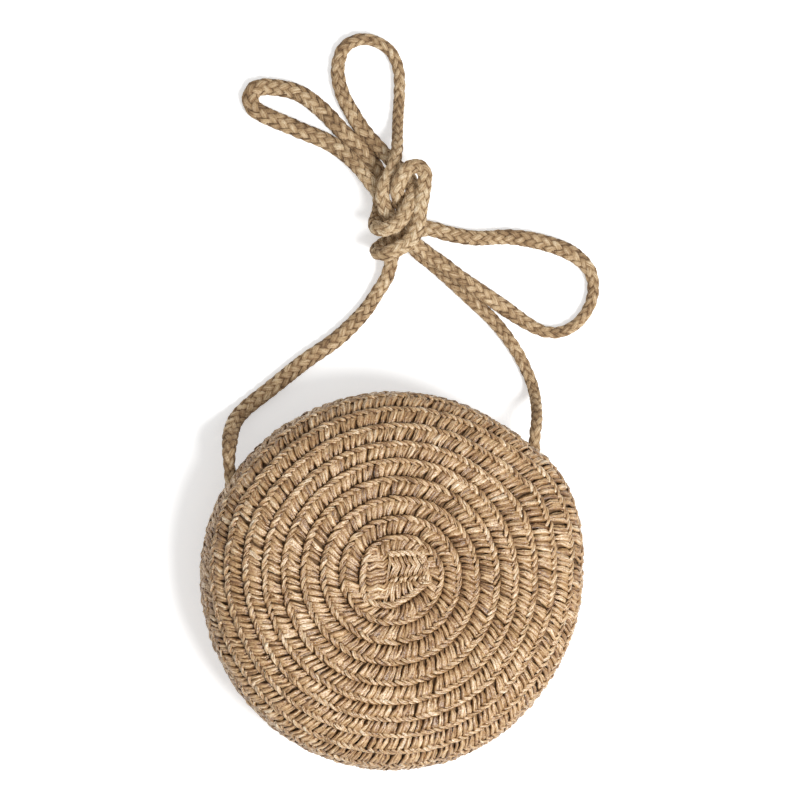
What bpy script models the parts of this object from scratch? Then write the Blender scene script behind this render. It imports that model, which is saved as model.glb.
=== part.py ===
"""Round straw crossbody bag with a rope strap tied in loops.

The bag lies on its back: the front panel looks up (+Z) and the zipped opening
points along +Y. The origin is the middle of the bag on the surface it lies on.
Everything is in metres.
"""

import math

import bmesh
import bpy
import numpy as np

mm = 0.001

# Bag body: two dishes of sewn braid, rim to rim on the seam plane
BAG_RADIUS = 90 * mm
BAG_HALF_DEPTH = 26 * mm
BRAID_WALL = 3.6 * mm
SHOULDER_WIDTH = 42 * mm
SHOULDER_POWER = 2.2
SHELL_SEGMENTS = 60
SHELL_STEPS = 8
FIT_GAP = 0.3 * mm
CUT_OVERRUN = 0.5 * mm
ROUND_SHARP_ANGLE = 40.0
FLAT_SHARP_ANGLE = 30.0

# Rows of the braid on the front: a spiral of laps, each row's outer edge over the next.
# The edge wanders by even, upward, sideways and oval amounts that change with its reach.
ROW_STEP = 8.67 * mm
ROW_FIRST_REACH = 4.1 * mm
ROW_RELIEF = 1.7 * mm
ROW_EDGE_RUN = 0.7 * mm
ROW_CREST_SHARE = 0.38
ROW_START_TURNS = 0.9
ROW_FADE_TURNS = 0.08
ROW_END_WIDTH = 1.2 * mm
ROW_TABLE_STEPS = 400
PATCH_MIDDLE_X = -2 * mm
PATCH_MIDDLE_Y = -2 * mm
WANDER_REACH_SHARES = (0, 0.243, 0.369, 0.486, 0.612, 0.728, 0.825, 1)
WANDER_EVEN_SHARES = (-0.236, -0.236, -0.219, -0.115, -0.104, -0.11, -0.012, 0)
WANDER_UP_SHARES = (0.277, 0.277, 0.271, 0.19, 0.179, 0.208, 0.202, 0)
WANDER_RIGHT_SHARES = (-0.185, -0.185, -0.242, -0.225, -0.225, -0.161, -0.098, 0)
WANDER_OVAL_SHARES = (-0.075, -0.075, -0.035, -0.04, -0.052, -0.121, -0.19, 0)

# Lining: a thin fabric dish inside each shell
LINING_INSET = 1.4 * mm
LINING_WALL = 0.6 * mm
LINING_SEGMENTS = 40
LINING_STEPS = 6
LINING_MOUTH_HALF = 5 * mm
LINING_MOUTH_ANGLE = 72.0
LINING_MOUTH_FADE = 12.0

# Zip in the mouth: angles in degrees either side of the top of the bag
MOUTH_HALF = 5 * mm
MOUTH_ANGLE = 45.0
PINCH_START_ANGLE = 49.0
PINCH_END_ANGLE = 60.0
MOUTH_CLOSED_ANGLE = 72.0
ZIP_DEPTH = 5.6 * mm
COIL_GAP = 1.5 * mm
COIL_WIDTH = 1.9 * mm
COIL_HEIGHT = 2.2 * mm
COIL_ANGLE = 41.5
COIL_ARC_STEPS = 28
TAPE_THICKNESS = 0.5 * mm
TAPE_TOP_HEIGHT = 12 * mm
TAPE_WALL_GAP = 0.7 * mm
TAPE_END_MARGIN = 3.6
STOP_LENGTH_ANGLE = 1.4
STOP_ARC_STEPS = 2
STOP_EXTRA_HEIGHT = 0.2 * mm

# Slider and pull: the plate's outline is shares of its half length and half width
SLIDER_LENGTH = 9.5 * mm
SLIDER_WIDTH = 8.4 * mm
SLIDER_PLATE = 1.0 * mm
SLIDER_OUTLINE_SHARES = ((-1.0, 0.56), (-0.8, 0.7), (0.2, 1.0), (0.7, 1.0), (1.0, 0.45))
SLIDER_POST_WIDTH = 0.9 * mm
SLIDER_POST_LENGTH = 2.4 * mm
SLIDER_POST_PLACE_SHARE = 0.28
SLIDER_STOP_MARGIN = 0.7
CROWN_LENGTH = 6.2 * mm
CROWN_WIDTH = 1.6 * mm
CROWN_THICKNESS = 0.8 * mm
PULL_BAR_RADIUS = 0.55 * mm
PULL_BAR_CORNERS = 12
PULL_LENGTH = 16 * mm
PULL_WIDTH = 5 * mm
PULL_CORNER_SHARE = 0.28
PULL_EYE_START_SHARE = 0.45
PULL_EYE_END_SHARE = 0.75
PULL_EYE_WIDTH_SHARE = 0.4
PULL_WINDOW_LENGTH = 3.9 * mm
PULL_CLEARANCE = 0.35 * mm
EDGE_BEVEL = 0.25 * mm
EDGE_BEVEL_ANGLE = 50.0

# Strap rope
ROPE_DIAMETER = 5.6 * mm
ROPE_BEVEL_RESOLUTION = 2
ROPE_POINT_DIAMETERS = 3.0
ROPE_POINT_TURN = 38.0
ROPE_CURVE_STEPS = 12
ROPE_DOME_TURNS = (20.0, 45.0, 70.0)
ROPE_NEIGHBOUR_DIAMETERS = 2.5
ROPE_EXIT_ANGLE = 51.3
ROPE_EXIT_CLEARANCE = 0.5 * mm
ROPE_INNER_LENGTH = 24 * mm
WHIPPING_WALL = 0.8 * mm
WHIPPING_LENGTH = 7 * mm
WHIPPING_END_MARGIN = 2 * mm
WHIPPING_SIDES = 16

# Sizes that follow from the ones above
SEAM_Z = BAG_HALF_DEPTH
PANEL_FLAT_RADIUS = BAG_RADIUS - SHOULDER_WIDTH
ZIP_RADIUS = BAG_RADIUS - ZIP_DEPTH
LINING_RADIUS = ZIP_RADIUS - LINING_INSET
ROPE_RADIUS = ROPE_DIAMETER / 2
PINCH_HALF = ROPE_RADIUS + FIT_GAP
COIL_INNER_Z = COIL_GAP / 2
COIL_OUTER_Z = COIL_INNER_Z + COIL_WIDTH
TAPE_EDGE_Z = COIL_OUTER_Z + FIT_GAP
TAPE_ANGLE = COIL_ANGLE + TAPE_END_MARGIN
PLATE_INNER_Y = COIL_HEIGHT / 2 + FIT_GAP
PLATE_OUTER_Y = PLATE_INNER_Y + SLIDER_PLATE
PULL_AXIS_Y = PLATE_OUTER_Y + FIT_GAP + PULL_BAR_RADIUS
CROWN_UNDER_Y = PULL_AXIS_Y + PULL_BAR_RADIUS + FIT_GAP
SLIDER_HALF_ANGLE = math.degrees(SLIDER_LENGTH / 2 / ZIP_RADIUS)
SLIDER_CLOSED_ANGLE = COIL_ANGLE - SLIDER_HALF_ANGLE - SLIDER_STOP_MARGIN
ROPE_EXIT_RADIUS = BAG_RADIUS + ROPE_RADIUS + ROPE_EXIT_CLEARANCE
ROPE_EXIT_X = ROPE_EXIT_RADIUS * math.sin(math.radians(ROPE_EXIT_ANGLE))
ROPE_EXIT_Y = ROPE_EXIT_RADIUS * math.cos(math.radians(ROPE_EXIT_ANGLE))

# The strap's route in millimetres, laid by hand from the left exit to the right one.
# The knot is one bundle: four passes of the same rope, three loops hang out of it.
LEFT_LEG = (
    (-72.6, 63.5, 25.2), (-71.5, 69, 21), (-69.5, 75, 13.5), (-66, 81, 6.5),
    (-60, 86.5, 3.2), (-49, 94, 3), (-31, 106.5, 3), (-14.5, 116.5, 3),
    (-0.5, 128.5, 3), (7, 138, 3.4), (11.5, 144.5, 5.2),
)
LEG_THROUGH_KNOT = (
    (13.5, 151, 7.8), (15, 157.5, 9.4), (15.7, 163.5, 9.4), (15.4, 169.5, 9.2),
    (14, 176, 9.2), (10.5, 183, 9.3), (7, 188.5, 9.2), (0, 199.5, 6.2),
)
LEFT_LOOP = (
    (-11.5, 210, 3.2), (-26.5, 217.5, 3), (-40.5, 225, 3), (-46.5, 229.5, 3),
    (-48, 234, 3), (-45.5, 238.5, 3), (-39, 239.5, 3), (-25, 236, 3),
    (-13.5, 227, 3), (-4, 216, 3), (6.5, 204.5, 3),
)
FIRST_BAND = (
    (10.5, 197.5, 3), (12, 191.5, 3), (11.5, 183.5, 3), (10.6, 177, 3.4),
    (9, 173.5, 6), (7.3, 170.8, 10), (6.4, 168.4, 14.8), (7, 166.2, 19),
    (10.2, 165.8, 21.6), (14.5, 167.2, 22), (18.5, 171, 21.8), (22.5, 177.5, 20.6),
    (24.2, 184, 17.2), (24, 189.5, 13.2), (21.5, 195, 10.2), (17.8, 199.5, 8.5),
)
TOP_LOOP = (
    (13.3, 205.5, 6.2), (7, 215, 3.2), (2, 224.5, 3), (-2.5, 234, 3),
    (-4.5, 245.5, 3), (-2, 255, 3), (2.5, 259, 3), (9, 260.5, 3),
    (16, 258.5, 3), (22, 253.5, 3), (25, 244.5, 3), (24.5, 232.5, 3),
    (23, 222, 3.2),
)
STRAND_DOWN_THE_LEFT = (
    (21.7, 214, 6), (20, 206, 11.8), (17.8, 199, 15.8), (15, 193, 15.9),
    (12, 187.5, 15.7), (10.5, 182, 15.6), (11.5, 176, 15.5), (14, 170.5, 15.5),
    (16.7, 166, 15.6), (20, 162, 15.8), (23.7, 159, 15.3), (27.8, 156.5, 13.3),
    (32, 153.2, 10.9), (38, 149, 9.3),
)
RIGHT_LOOP = (
    (45.5, 142.5, 8.6), (56.5, 134.5, 6.8), (67.5, 126.5, 4.2), (80.5, 117, 3),
    (87.5, 113.5, 3), (95.5, 113, 3), (104, 117, 3), (110.5, 125, 3),
    (113, 134, 3), (111.5, 142.5, 3), (104, 150.5, 3), (91, 156.5, 3),
    (74, 160.5, 3), (56.5, 161, 3), (43, 164, 3),
)
SECOND_BAND = (
    (34, 167, 3), (27, 166, 3), (21, 164.5, 3), (14.5, 162, 3),
    (11, 160, 3.8), (8, 158, 7.8), (6.5, 156.5, 13), (6.5, 154.8, 18.2),
    (9.5, 154, 21.6), (14, 155.5, 22), (19.5, 158, 22), (24, 161.5, 22),
    (27, 167, 21.9), (28.5, 174.5, 21.6), (30.5, 182.5, 21.3), (31.3, 188, 21.3),
    (30.6, 192.2, 21.6), (27.6, 194.8, 22), (23.4, 194.3, 22), (20, 190.5, 21.4),
    (17.8, 186, 19.2), (18, 181, 16.4),
)
ARCH_FOOT = (
    (20.2, 175.5, 13.5), (22.3, 170, 10.4), (23, 164.5, 9.4), (23.9, 160, 8.2),
    (26.3, 156.5, 6), (29.5, 153.7, 4), (33.5, 150.5, 3),
)
RIGHT_LEG = (
    (41.5, 142.5, 3), (51.5, 132, 3), (63, 119.5, 3), (72.5, 105, 3),
    (78, 91.5, 3.2), (79, 84, 6.2), (78, 77, 13), (76, 70, 21),
    (73.8, 63.8, 25.3),
)
STRAP_ROUTE = (
    LEFT_LEG + LEG_THROUGH_KNOT + LEFT_LOOP + FIRST_BAND + TOP_LOOP
    + STRAND_DOWN_THE_LEFT + RIGHT_LOOP + SECOND_BAND + ARCH_FOOT + RIGHT_LEG
)


def clear_scene():
    for item in list(bpy.data.objects):
        bpy.data.objects.remove(item, do_unlink=True)


def material(name, colour, roughness, metallic=0.0):
    result = bpy.data.materials.new(name)
    result.use_nodes = True
    shader = result.node_tree.nodes["Principled BSDF"]
    shader.inputs["Base Color"].default_value = (*colour, 1.0)
    shader.inputs["Roughness"].default_value = roughness
    shader.inputs["Metallic"].default_value = metallic
    result.diffuse_color = (*colour, 1.0)
    return result


def add_mesh_object(name, vertices, faces, surface, sharp_angle=ROUND_SHARP_ANGLE):
    """An object from points and faces, its faces turned outwards and shaded smooth."""
    mesh = bpy.data.meshes.new(name)
    mesh.from_pydata([tuple(point) for point in vertices], [], faces)
    work = bmesh.new()
    work.from_mesh(mesh)
    bmesh.ops.recalc_face_normals(work, faces=work.faces)
    work.to_mesh(mesh)
    work.free()
    mesh.shade_smooth()
    mesh.set_sharp_from_angle(angle=math.radians(sharp_angle))
    mesh.materials.append(surface)
    item = bpy.data.objects.new(name, mesh)
    bpy.context.scene.collection.objects.link(item)
    return item


def smooth_step(value):
    share = min(1.0, max(0.0, value))
    return share * share * (3.0 - 2.0 * share)


def fade(start_value, end_value, start_angle, end_angle, angle):
    share = smooth_step((angle - start_angle) / (end_angle - start_angle))
    return start_value + (end_value - start_value) * share


def shell_rim_height(angle):
    """Height of a shell's rim over the seam plane, angle in degrees from the top."""
    angle = abs(angle)
    if angle < PINCH_START_ANGLE:
        return fade(MOUTH_HALF, PINCH_HALF, MOUTH_ANGLE, PINCH_START_ANGLE, angle)
    return fade(PINCH_HALF, FIT_GAP / 2, PINCH_END_ANGLE, MOUTH_CLOSED_ANGLE, angle)


def lining_rim_height(angle):
    end = LINING_MOUTH_ANGLE + LINING_MOUTH_FADE
    return fade(LINING_MOUTH_HALF, FIT_GAP / 2, LINING_MOUTH_ANGLE, end, abs(angle))


def shoulder_point(radius, depth, rim, turn):
    """Radius and height on the rounded shoulder: turn 0 at the panel, 90 at the rim."""
    power = 2.0 / SHOULDER_POWER
    out_share = math.sin(math.radians(turn)) ** power
    up_share = max(0.0, math.cos(math.radians(turn))) ** power
    return (
        PANEL_FLAT_RADIUS + (radius - PANEL_FLAT_RADIUS) * out_share,
        rim + (depth - rim) * up_share,
    )


def shoulder_radius_at(radius, depth, rim, height):
    """The shoulder's radius at a height over the seam plane."""
    up_share = (height - rim) / (depth - rim)
    out_share = (1.0 - up_share ** SHOULDER_POWER) ** (1.0 / SHOULDER_POWER)
    return PANEL_FLAT_RADIUS + (radius - PANEL_FLAT_RADIUS) * out_share


def dish(name, radius, depth, wall, rim_height, side, segments, steps, surface):
    """A dish with a flat panel, a rounded shoulder and a rim that follows rim_height.

    side is +1 for the front dish, above the seam plane, and -1 for the back one.
    """
    vertices = []
    faces = []
    skins = ((radius, depth), (radius - wall, depth - wall))
    rings_per_skin = steps + 1
    first_vertex = []
    for skin_radius, skin_depth in skins:
        first_vertex.append(len(vertices))
        vertices.append((0.0, 0.0, SEAM_Z + side * skin_depth))
        for step in range(rings_per_skin):
            for segment in range(segments):
                angle = 2 * math.pi * segment / segments
                from_top = math.degrees(math.acos(math.cos(angle)))
                rim = rim_height(from_top)
                turn = 90.0 * step / steps
                out, up = shoulder_point(skin_radius, skin_depth, rim, turn)
                x = out * math.sin(angle)
                y = out * math.cos(angle)
                vertices.append((x, y, SEAM_Z + side * up))
    for start in first_vertex:
        for segment in range(segments):
            after = (segment + 1) % segments
            faces.append((start, start + 1 + segment, start + 1 + after))
            for step in range(steps):
                ring = start + 1 + step * segments
                outer = ring + segments
                faces.append((ring + segment, outer + segment, outer + after, ring + after))
    outer_rim = first_vertex[0] + 1 + steps * segments
    inner_rim = first_vertex[1] + 1 + steps * segments
    for segment in range(segments):
        after = (segment + 1) % segments
        faces.append((outer_rim + segment, inner_rim + segment, inner_rim + after, outer_rim + after))
    return add_mesh_object(name, vertices, faces, surface)


def shoulder_line(radius, depth, rim):
    """Places along the shoulder from the panel to the rim: length so far, radius, height."""
    turns = np.linspace(0.0, math.pi / 2, ROW_TABLE_STEPS)
    power = 2.0 / SHOULDER_POWER
    out = PANEL_FLAT_RADIUS + (radius - PANEL_FLAT_RADIUS) * np.sin(turns) ** power
    up = rim + (depth - rim) * np.maximum(np.cos(turns), 0.0) ** power
    length = np.concatenate(([0.0], np.cumsum(np.hypot(np.diff(out), np.diff(up)))))
    return length, out, up


def skin_place(line, reach, rim_reach, sunk):
    """Radius and height at a reach from the middle along the skin, sunk under it."""
    if reach <= PANEL_FLAT_RADIUS:
        return reach, line[2][0] - sunk
    length, out, up = line
    place = (reach - PANEL_FLAT_RADIUS) / (rim_reach - PANEL_FLAT_RADIUS) * length[-1]
    step_out = np.interp(place, length, np.gradient(out, length))
    step_up = np.interp(place, length, np.gradient(up, length))
    steep = math.hypot(step_out, step_up)
    return (
        float(np.interp(place, length, out) + sunk * step_up / steep),
        float(np.interp(place, length, up) - sunk * step_out / steep),
    )


def row_edge(turns, rim_reach):
    """Reach of a row's outer edge: a row step for each turn, and the row's wander."""
    heading = 2 * math.pi * turns
    reach = ROW_FIRST_REACH + ROW_STEP * turns
    wanders = [
        float(np.interp(reach / rim_reach, WANDER_REACH_SHARES, shares)) * ROW_STEP
        for shares in (WANDER_EVEN_SHARES, WANDER_UP_SHARES, WANDER_RIGHT_SHARES, WANDER_OVAL_SHARES)
    ]
    reach += wanders[0] + wanders[1] * math.cos(heading)
    reach += wanders[2] * math.sin(heading) + wanders[3] * math.cos(2 * heading)
    return min(reach, rim_reach)


def rowed_dish(name, radius, depth, wall, rim_height, segments, steps, surface):
    """The front dish with its rows: one lapped strip that winds from a flat start patch
    out to the rim, where its edge runs into the rim and ends. The inside is plain.
    The edge steps to the rim from its end width away, so the strip has no thin tail.

    Each place along the strip has a column of points: the edge of the turn inside it,
    the foot of the lap, the crest's start and the strip's own edge.
    """
    vertices = []
    faces = []
    start = round(ROW_START_TURNS * segments)
    headings = [2 * math.pi * index / segments for index in range(segments)]
    from_top = [math.degrees(math.acos(math.cos(heading))) for heading in headings]
    rims = [rim_height(angle) for angle in from_top]
    lines = [shoulder_line(radius, depth, rim) for rim in rims]
    closed_length = shoulder_line(radius, depth, min(rims))[0][-1]
    rim_reach = PANEL_FLAT_RADIUS + closed_length

    def add_point(index, reach, sunk):
        column = (start + index) % segments
        out, up = skin_place(lines[column], reach, rim_reach, sunk)
        x = out * math.sin(headings[column])
        y = out * math.cos(headings[column])
        vertices.append((x, y, SEAM_Z + up))
        return len(vertices) - 1

    edges = []
    edge_reach = []
    columns = []
    index = 0
    last = None
    while last is None or index < last + segments:
        reach = row_edge((start + index) / segments, rim_reach)
        if last is None and reach >= rim_reach - ROW_END_WIDTH:
            last = index
        if last is not None:
            reach = rim_reach
        edge_reach.append(reach)
        edges.append(add_point(index, reach, 0.0))
        if index >= segments:
            inner = edge_reach[index - segments]
            width = reach - inner
            fade_in = smooth_step((index - segments) / segments / ROW_FADE_TURNS)
            fade_out = smooth_step((rim_reach - inner) / ROW_STEP)
            sunk = ROW_RELIEF * fade_in * fade_out
            foot = add_point(index, inner + min(ROW_EDGE_RUN, width * ROW_CREST_SHARE), sunk)
            crest = add_point(index, reach - width * ROW_CREST_SHARE, 0.0)
            columns.append((edges[index - segments], foot, crest, edges[index]))
        index += 1
    columns.append((edges[last],) * len(columns[0]))
    for here, there in zip(columns, columns[1:]):
        for low in range(len(here) - 1):
            corners = (here[low], here[low + 1], there[low + 1], there[low])
            faces.append(tuple(dict.fromkeys(corners)))
    vertices.append((PATCH_MIDDLE_X, PATCH_MIDDLE_Y, SEAM_Z + depth))
    patch_middle = len(vertices) - 1
    patch_loop = edges[:segments + 1] + [columns[0][2], columns[0][1]]
    for here, there in zip(patch_loop, patch_loop[1:] + patch_loop[:1]):
        faces.append((patch_middle, here, there))
    inner_middle = len(vertices)
    vertices.append((0.0, 0.0, SEAM_Z + depth - wall))
    for step in range(steps + 1):
        for column in range(segments):
            out, up = shoulder_point(radius - wall, depth - wall, rims[column], 90.0 * step / steps)
            x = out * math.sin(headings[column])
            y = out * math.cos(headings[column])
            vertices.append((x, y, SEAM_Z + up))
    for column in range(segments):
        after = (column + 1) % segments
        faces.append((inner_middle, inner_middle + 1 + column, inner_middle + 1 + after))
        for step in range(steps):
            ring = inner_middle + 1 + step * segments
            outer = ring + segments
            faces.append((ring + column, outer + column, outer + after, ring + after))
    inner_rim = inner_middle + 1 + steps * segments
    for index in range(last, last + segments):
        column = (start + index) % segments
        after = (column + 1) % segments
        next_edge = edges[index + 1] if index + 1 < last + segments else edges[last]
        faces.append((edges[index], inner_rim + column, inner_rim + after, next_edge))
    return add_mesh_object(name, vertices, faces, surface)


def arc_bar(name, section, start_angle, end_angle, steps, surface):
    """A bar bent round the bag's axis: section is a list of (radius, height) corners."""
    vertices = []
    faces = []
    corners = len(section)
    for step in range(steps + 1):
        angle = math.radians(start_angle + (end_angle - start_angle) * step / steps)
        for radius, height in section:
            vertices.append((radius * math.sin(angle), radius * math.cos(angle), SEAM_Z + height))
    for step in range(steps):
        here = step * corners
        there = here + corners
        for corner in range(corners):
            after = (corner + 1) % corners
            faces.append((here + corner, there + corner, there + after, here + after))
    faces.append(tuple(range(corners)))
    faces.append(tuple(range(steps * corners, (steps + 1) * corners)))
    return add_mesh_object(name, vertices, faces, surface, sharp_angle=FLAT_SHARP_ANGLE)


def prism(name, outline, axis, low, high, surface):
    """A flat outline in two axes, carried along the third from low to high."""
    def place(a, b, along):
        spot = [a, b]
        spot.insert(axis, along)
        return tuple(spot)

    count = len(outline)
    vertices = [place(a, b, low) for a, b in outline]
    vertices += [place(a, b, high) for a, b in outline]
    faces = [tuple(range(count)), tuple(range(count, 2 * count))]
    for corner in range(count):
        after = (corner + 1) % count
        faces.append((corner, after, count + after, count + corner))
    return add_mesh_object(name, vertices, faces, surface, sharp_angle=FLAT_SHARP_ANGLE)


def box_outline(low_a, high_a, low_b, high_b):
    return [(low_a, low_b), (high_a, low_b), (high_a, high_b), (low_a, high_b)]


def combine(item, tool, operation):
    """Join a tool to an item, or cut it away, and hide the tool."""
    step = item.modifiers.new(operation.lower() + "_" + tool.name, "BOOLEAN")
    step.operation = operation
    step.solver = "EXACT"
    step.object = tool
    tool.hide_render = True
    tool.display_type = "WIRE"
    tool.hide_set(True)
    tool.parent = item


def soften_edges(item, width):
    step = item.modifiers.new("soft_edges", "BEVEL")
    step.width = width
    step.segments = 1
    step.limit_method = "ANGLE"
    step.angle_limit = math.radians(EDGE_BEVEL_ANGLE)


def make_shells(straw, lining_cloth):
    """The two dishes of braid and the thin lining dish inside each.

    The back dish stays plain: the bag lies on its flat panel.
    """
    rowed_dish(
        "front_shell", BAG_RADIUS, BAG_HALF_DEPTH, BRAID_WALL,
        shell_rim_height, SHELL_SEGMENTS, SHELL_STEPS, straw,
    )
    dish(
        "back_shell", BAG_RADIUS, BAG_HALF_DEPTH, BRAID_WALL,
        shell_rim_height, -1, SHELL_SEGMENTS, SHELL_STEPS, straw,
    )
    for side, label in ((1, "front"), (-1, "back")):
        dish(
            label + "_lining", LINING_RADIUS, BAG_HALF_DEPTH - BRAID_WALL - FIT_GAP, LINING_WALL,
            lining_rim_height, side, LINING_SEGMENTS, LINING_STEPS, lining_cloth,
        )


def make_zip_chain(tape_cloth, coil_nylon, zip_metal):
    """Both tapes, both coils and the stops at the ends of the coils."""
    inner_radius = BAG_RADIUS - BRAID_WALL
    wall_radius = shoulder_radius_at(
        inner_radius, BAG_HALF_DEPTH - BRAID_WALL, MOUTH_HALF, TAPE_TOP_HEIGHT
    )
    tape_top_outside = wall_radius - TAPE_WALL_GAP
    tape_edge_outside = ZIP_RADIUS + TAPE_THICKNESS / 2
    stop_reach = COIL_HEIGHT / 2 + STOP_EXTRA_HEIGHT
    stop_gap_angle = math.degrees(FIT_GAP / ZIP_RADIUS)
    stop_start = COIL_ANGLE + stop_gap_angle
    stop_end = stop_start + STOP_LENGTH_ANGLE
    coil_low = ZIP_RADIUS - COIL_HEIGHT / 2
    coil_high = ZIP_RADIUS + COIL_HEIGHT / 2
    stop_low = ZIP_RADIUS - stop_reach
    stop_high = ZIP_RADIUS + stop_reach
    for side, label in ((1, "front"), (-1, "back")):
        tape_section = [
            (tape_edge_outside - TAPE_THICKNESS, side * TAPE_EDGE_Z),
            (tape_edge_outside, side * TAPE_EDGE_Z),
            (tape_top_outside, side * TAPE_TOP_HEIGHT),
            (tape_top_outside - TAPE_THICKNESS, side * TAPE_TOP_HEIGHT),
        ]
        arc_bar("zip_tape_" + label, tape_section, -TAPE_ANGLE, TAPE_ANGLE, COIL_ARC_STEPS, tape_cloth)
        coil_section = [
            (coil_low, side * COIL_INNER_Z),
            (coil_high, side * COIL_INNER_Z),
            (coil_high, side * COIL_OUTER_Z),
            (coil_low, side * COIL_OUTER_Z),
        ]
        arc_bar("zip_coil_" + label, coil_section, -COIL_ANGLE, COIL_ANGLE, COIL_ARC_STEPS, coil_nylon)
        stop_section = [
            (stop_low, side * COIL_INNER_Z),
            (stop_high, side * COIL_INNER_Z),
            (stop_high, side * COIL_OUTER_Z),
            (stop_low, side * COIL_OUTER_Z),
        ]
        arc_bar(
            "zip_top_stop_" + label, stop_section, stop_start, stop_end, STOP_ARC_STEPS, zip_metal
        )
    end_section = [
        (stop_low, -COIL_OUTER_Z),
        (stop_high, -COIL_OUTER_Z),
        (stop_high, COIL_OUTER_Z),
        (stop_low, COIL_OUTER_Z),
    ]
    arc_bar("zip_bottom_stop", end_section, -stop_end, -stop_start, STOP_ARC_STEPS, zip_metal)


def slider_plate_outline():
    """The slider's shield outline: wide shoulders ahead, a narrower tail behind."""
    half_length = SLIDER_LENGTH / 2
    half_width = SLIDER_WIDTH / 2
    upper = [
        (half_length * along_share, half_width * across_share)
        for along_share, across_share in SLIDER_OUTLINE_SHARES
    ]
    lower = [(along, -across) for along, across in reversed(upper)]
    return upper + lower


def make_slider(zip_metal):
    """The slider: two plates round the coils, a post between them and a crown on top.

    The slider turns about the bag's own axis, so its origin is there: the zip is a
    true arc of that circle. Its length runs along X, its height along Y.
    """
    outline = slider_plate_outline()
    slider = prism(
        "zip_slider", outline, 1, ZIP_RADIUS + PLATE_INNER_Y, ZIP_RADIUS + PLATE_OUTER_Y, zip_metal
    )
    under = prism(
        "slider_under_plate", outline, 1, ZIP_RADIUS - PLATE_OUTER_Y, ZIP_RADIUS - PLATE_INNER_Y, zip_metal
    )
    post_middle = SLIDER_LENGTH * SLIDER_POST_PLACE_SHARE
    post_outline = box_outline(
        post_middle - SLIDER_POST_LENGTH / 2, post_middle + SLIDER_POST_LENGTH / 2,
        -SLIDER_POST_WIDTH / 2, SLIDER_POST_WIDTH / 2,
    )
    post = prism(
        "slider_post", post_outline, 1,
        ZIP_RADIUS - PLATE_INNER_Y - CUT_OVERRUN, ZIP_RADIUS + PLATE_INNER_Y + CUT_OVERRUN, zip_metal,
    )
    half_crown = CROWN_LENGTH / 2
    base = ZIP_RADIUS + PLATE_OUTER_Y - CUT_OVERRUN
    under_crown = ZIP_RADIUS + CROWN_UNDER_Y
    top = under_crown + CROWN_THICKNESS
    crown_outline = [
        (-half_crown, base),
        (-half_crown, top - CROWN_THICKNESS),
        (-half_crown + CROWN_THICKNESS, top),
        (half_crown - CROWN_THICKNESS, top),
        (half_crown, top - CROWN_THICKNESS),
        (half_crown, base),
        (half_crown - CROWN_THICKNESS, base),
        (half_crown - CROWN_THICKNESS, under_crown),
        (-half_crown + CROWN_THICKNESS, under_crown),
        (-half_crown + CROWN_THICKNESS, base),
    ]
    crown = prism("slider_crown", crown_outline, 2, -CROWN_WIDTH / 2, CROWN_WIDTH / 2, zip_metal)
    for tool in (post, under, crown):
        combine(slider, tool, "UNION")
    soften_edges(slider, EDGE_BEVEL)
    slider.location = (0.0, 0.0, SEAM_Z)
    slider.rotation_euler = (0.0, 0.0, -math.radians(SLIDER_CLOSED_ANGLE))
    return slider


def make_pull(zip_metal, slider):
    """The pull: a tab whose cross bar turns under the crown, with a window round it."""
    half_width = PULL_WIDTH / 2
    end = -PULL_LENGTH
    corner = PULL_WIDTH * PULL_CORNER_SHARE
    outline = [
        (0.0, -half_width),
        (0.0, half_width),
        (end + corner, half_width),
        (end, half_width - corner),
        (end, -half_width + corner),
        (end + corner, -half_width),
    ]
    pull = prism("zip_pull", outline, 1, -PULL_BAR_RADIUS, PULL_BAR_RADIUS, zip_metal)
    cut_high = PULL_BAR_RADIUS + CUT_OVERRUN
    window_half = CROWN_WIDTH / 2 + PULL_CLEARANCE
    window_outline = box_outline(-PULL_WINDOW_LENGTH, CUT_OVERRUN, -window_half, window_half)
    window = prism("pull_window", window_outline, 1, -cut_high, cut_high, zip_metal)
    eye_half = half_width * PULL_EYE_WIDTH_SHARE
    eye_outline = box_outline(
        end + PULL_WIDTH * PULL_EYE_START_SHARE, end + PULL_WIDTH * PULL_EYE_END_SHARE,
        -eye_half, eye_half,
    )
    eye = prism("pull_eye", eye_outline, 1, -cut_high, cut_high, zip_metal)
    turns = [2 * math.pi * index / PULL_BAR_CORNERS for index in range(PULL_BAR_CORNERS)]
    bar_outline = [
        (PULL_BAR_RADIUS * math.cos(turn), PULL_BAR_RADIUS * math.sin(turn)) for turn in turns
    ]
    bar = prism("pull_bar", bar_outline, 2, -half_width, half_width, zip_metal)
    combine(pull, window, "DIFFERENCE")
    combine(pull, eye, "DIFFERENCE")
    combine(pull, bar, "UNION")
    pull.parent = slider
    pull.location = (0.0, ZIP_RADIUS + PULL_AXIS_Y, 0.0)
    return pull


def smooth_curve(points, steps):
    """A smooth line through the points, as a dense array.

    Each span is a cubic whose end slopes are the chords across its neighbours,
    shared out by their lengths, so close points don't make it overshoot.
    """
    points = np.asarray(points, dtype=float)
    share = np.linspace(0.0, 1.0, steps, endpoint=False)[:, None]
    spans = []
    last = len(points) - 1
    for index in range(last):
        before = points[max(index - 1, 0)]
        start = points[index]
        end = points[index + 1]
        after = points[min(index + 2, last)]
        span = np.linalg.norm(end - start)
        slope_start = (end - before) / (span + np.linalg.norm(start - before)) * span
        slope_end = (after - start) / (span + np.linalg.norm(after - end)) * span
        spans.append(
            (2 * share**3 - 3 * share**2 + 1) * start
            + (share**3 - 2 * share**2 + share) * slope_start
            + (3 * share**2 - 2 * share**3) * end
            + (share**3 - share**2) * slope_end
        )
    spans.append(points[-1:])
    return np.vstack(spans)


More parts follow.
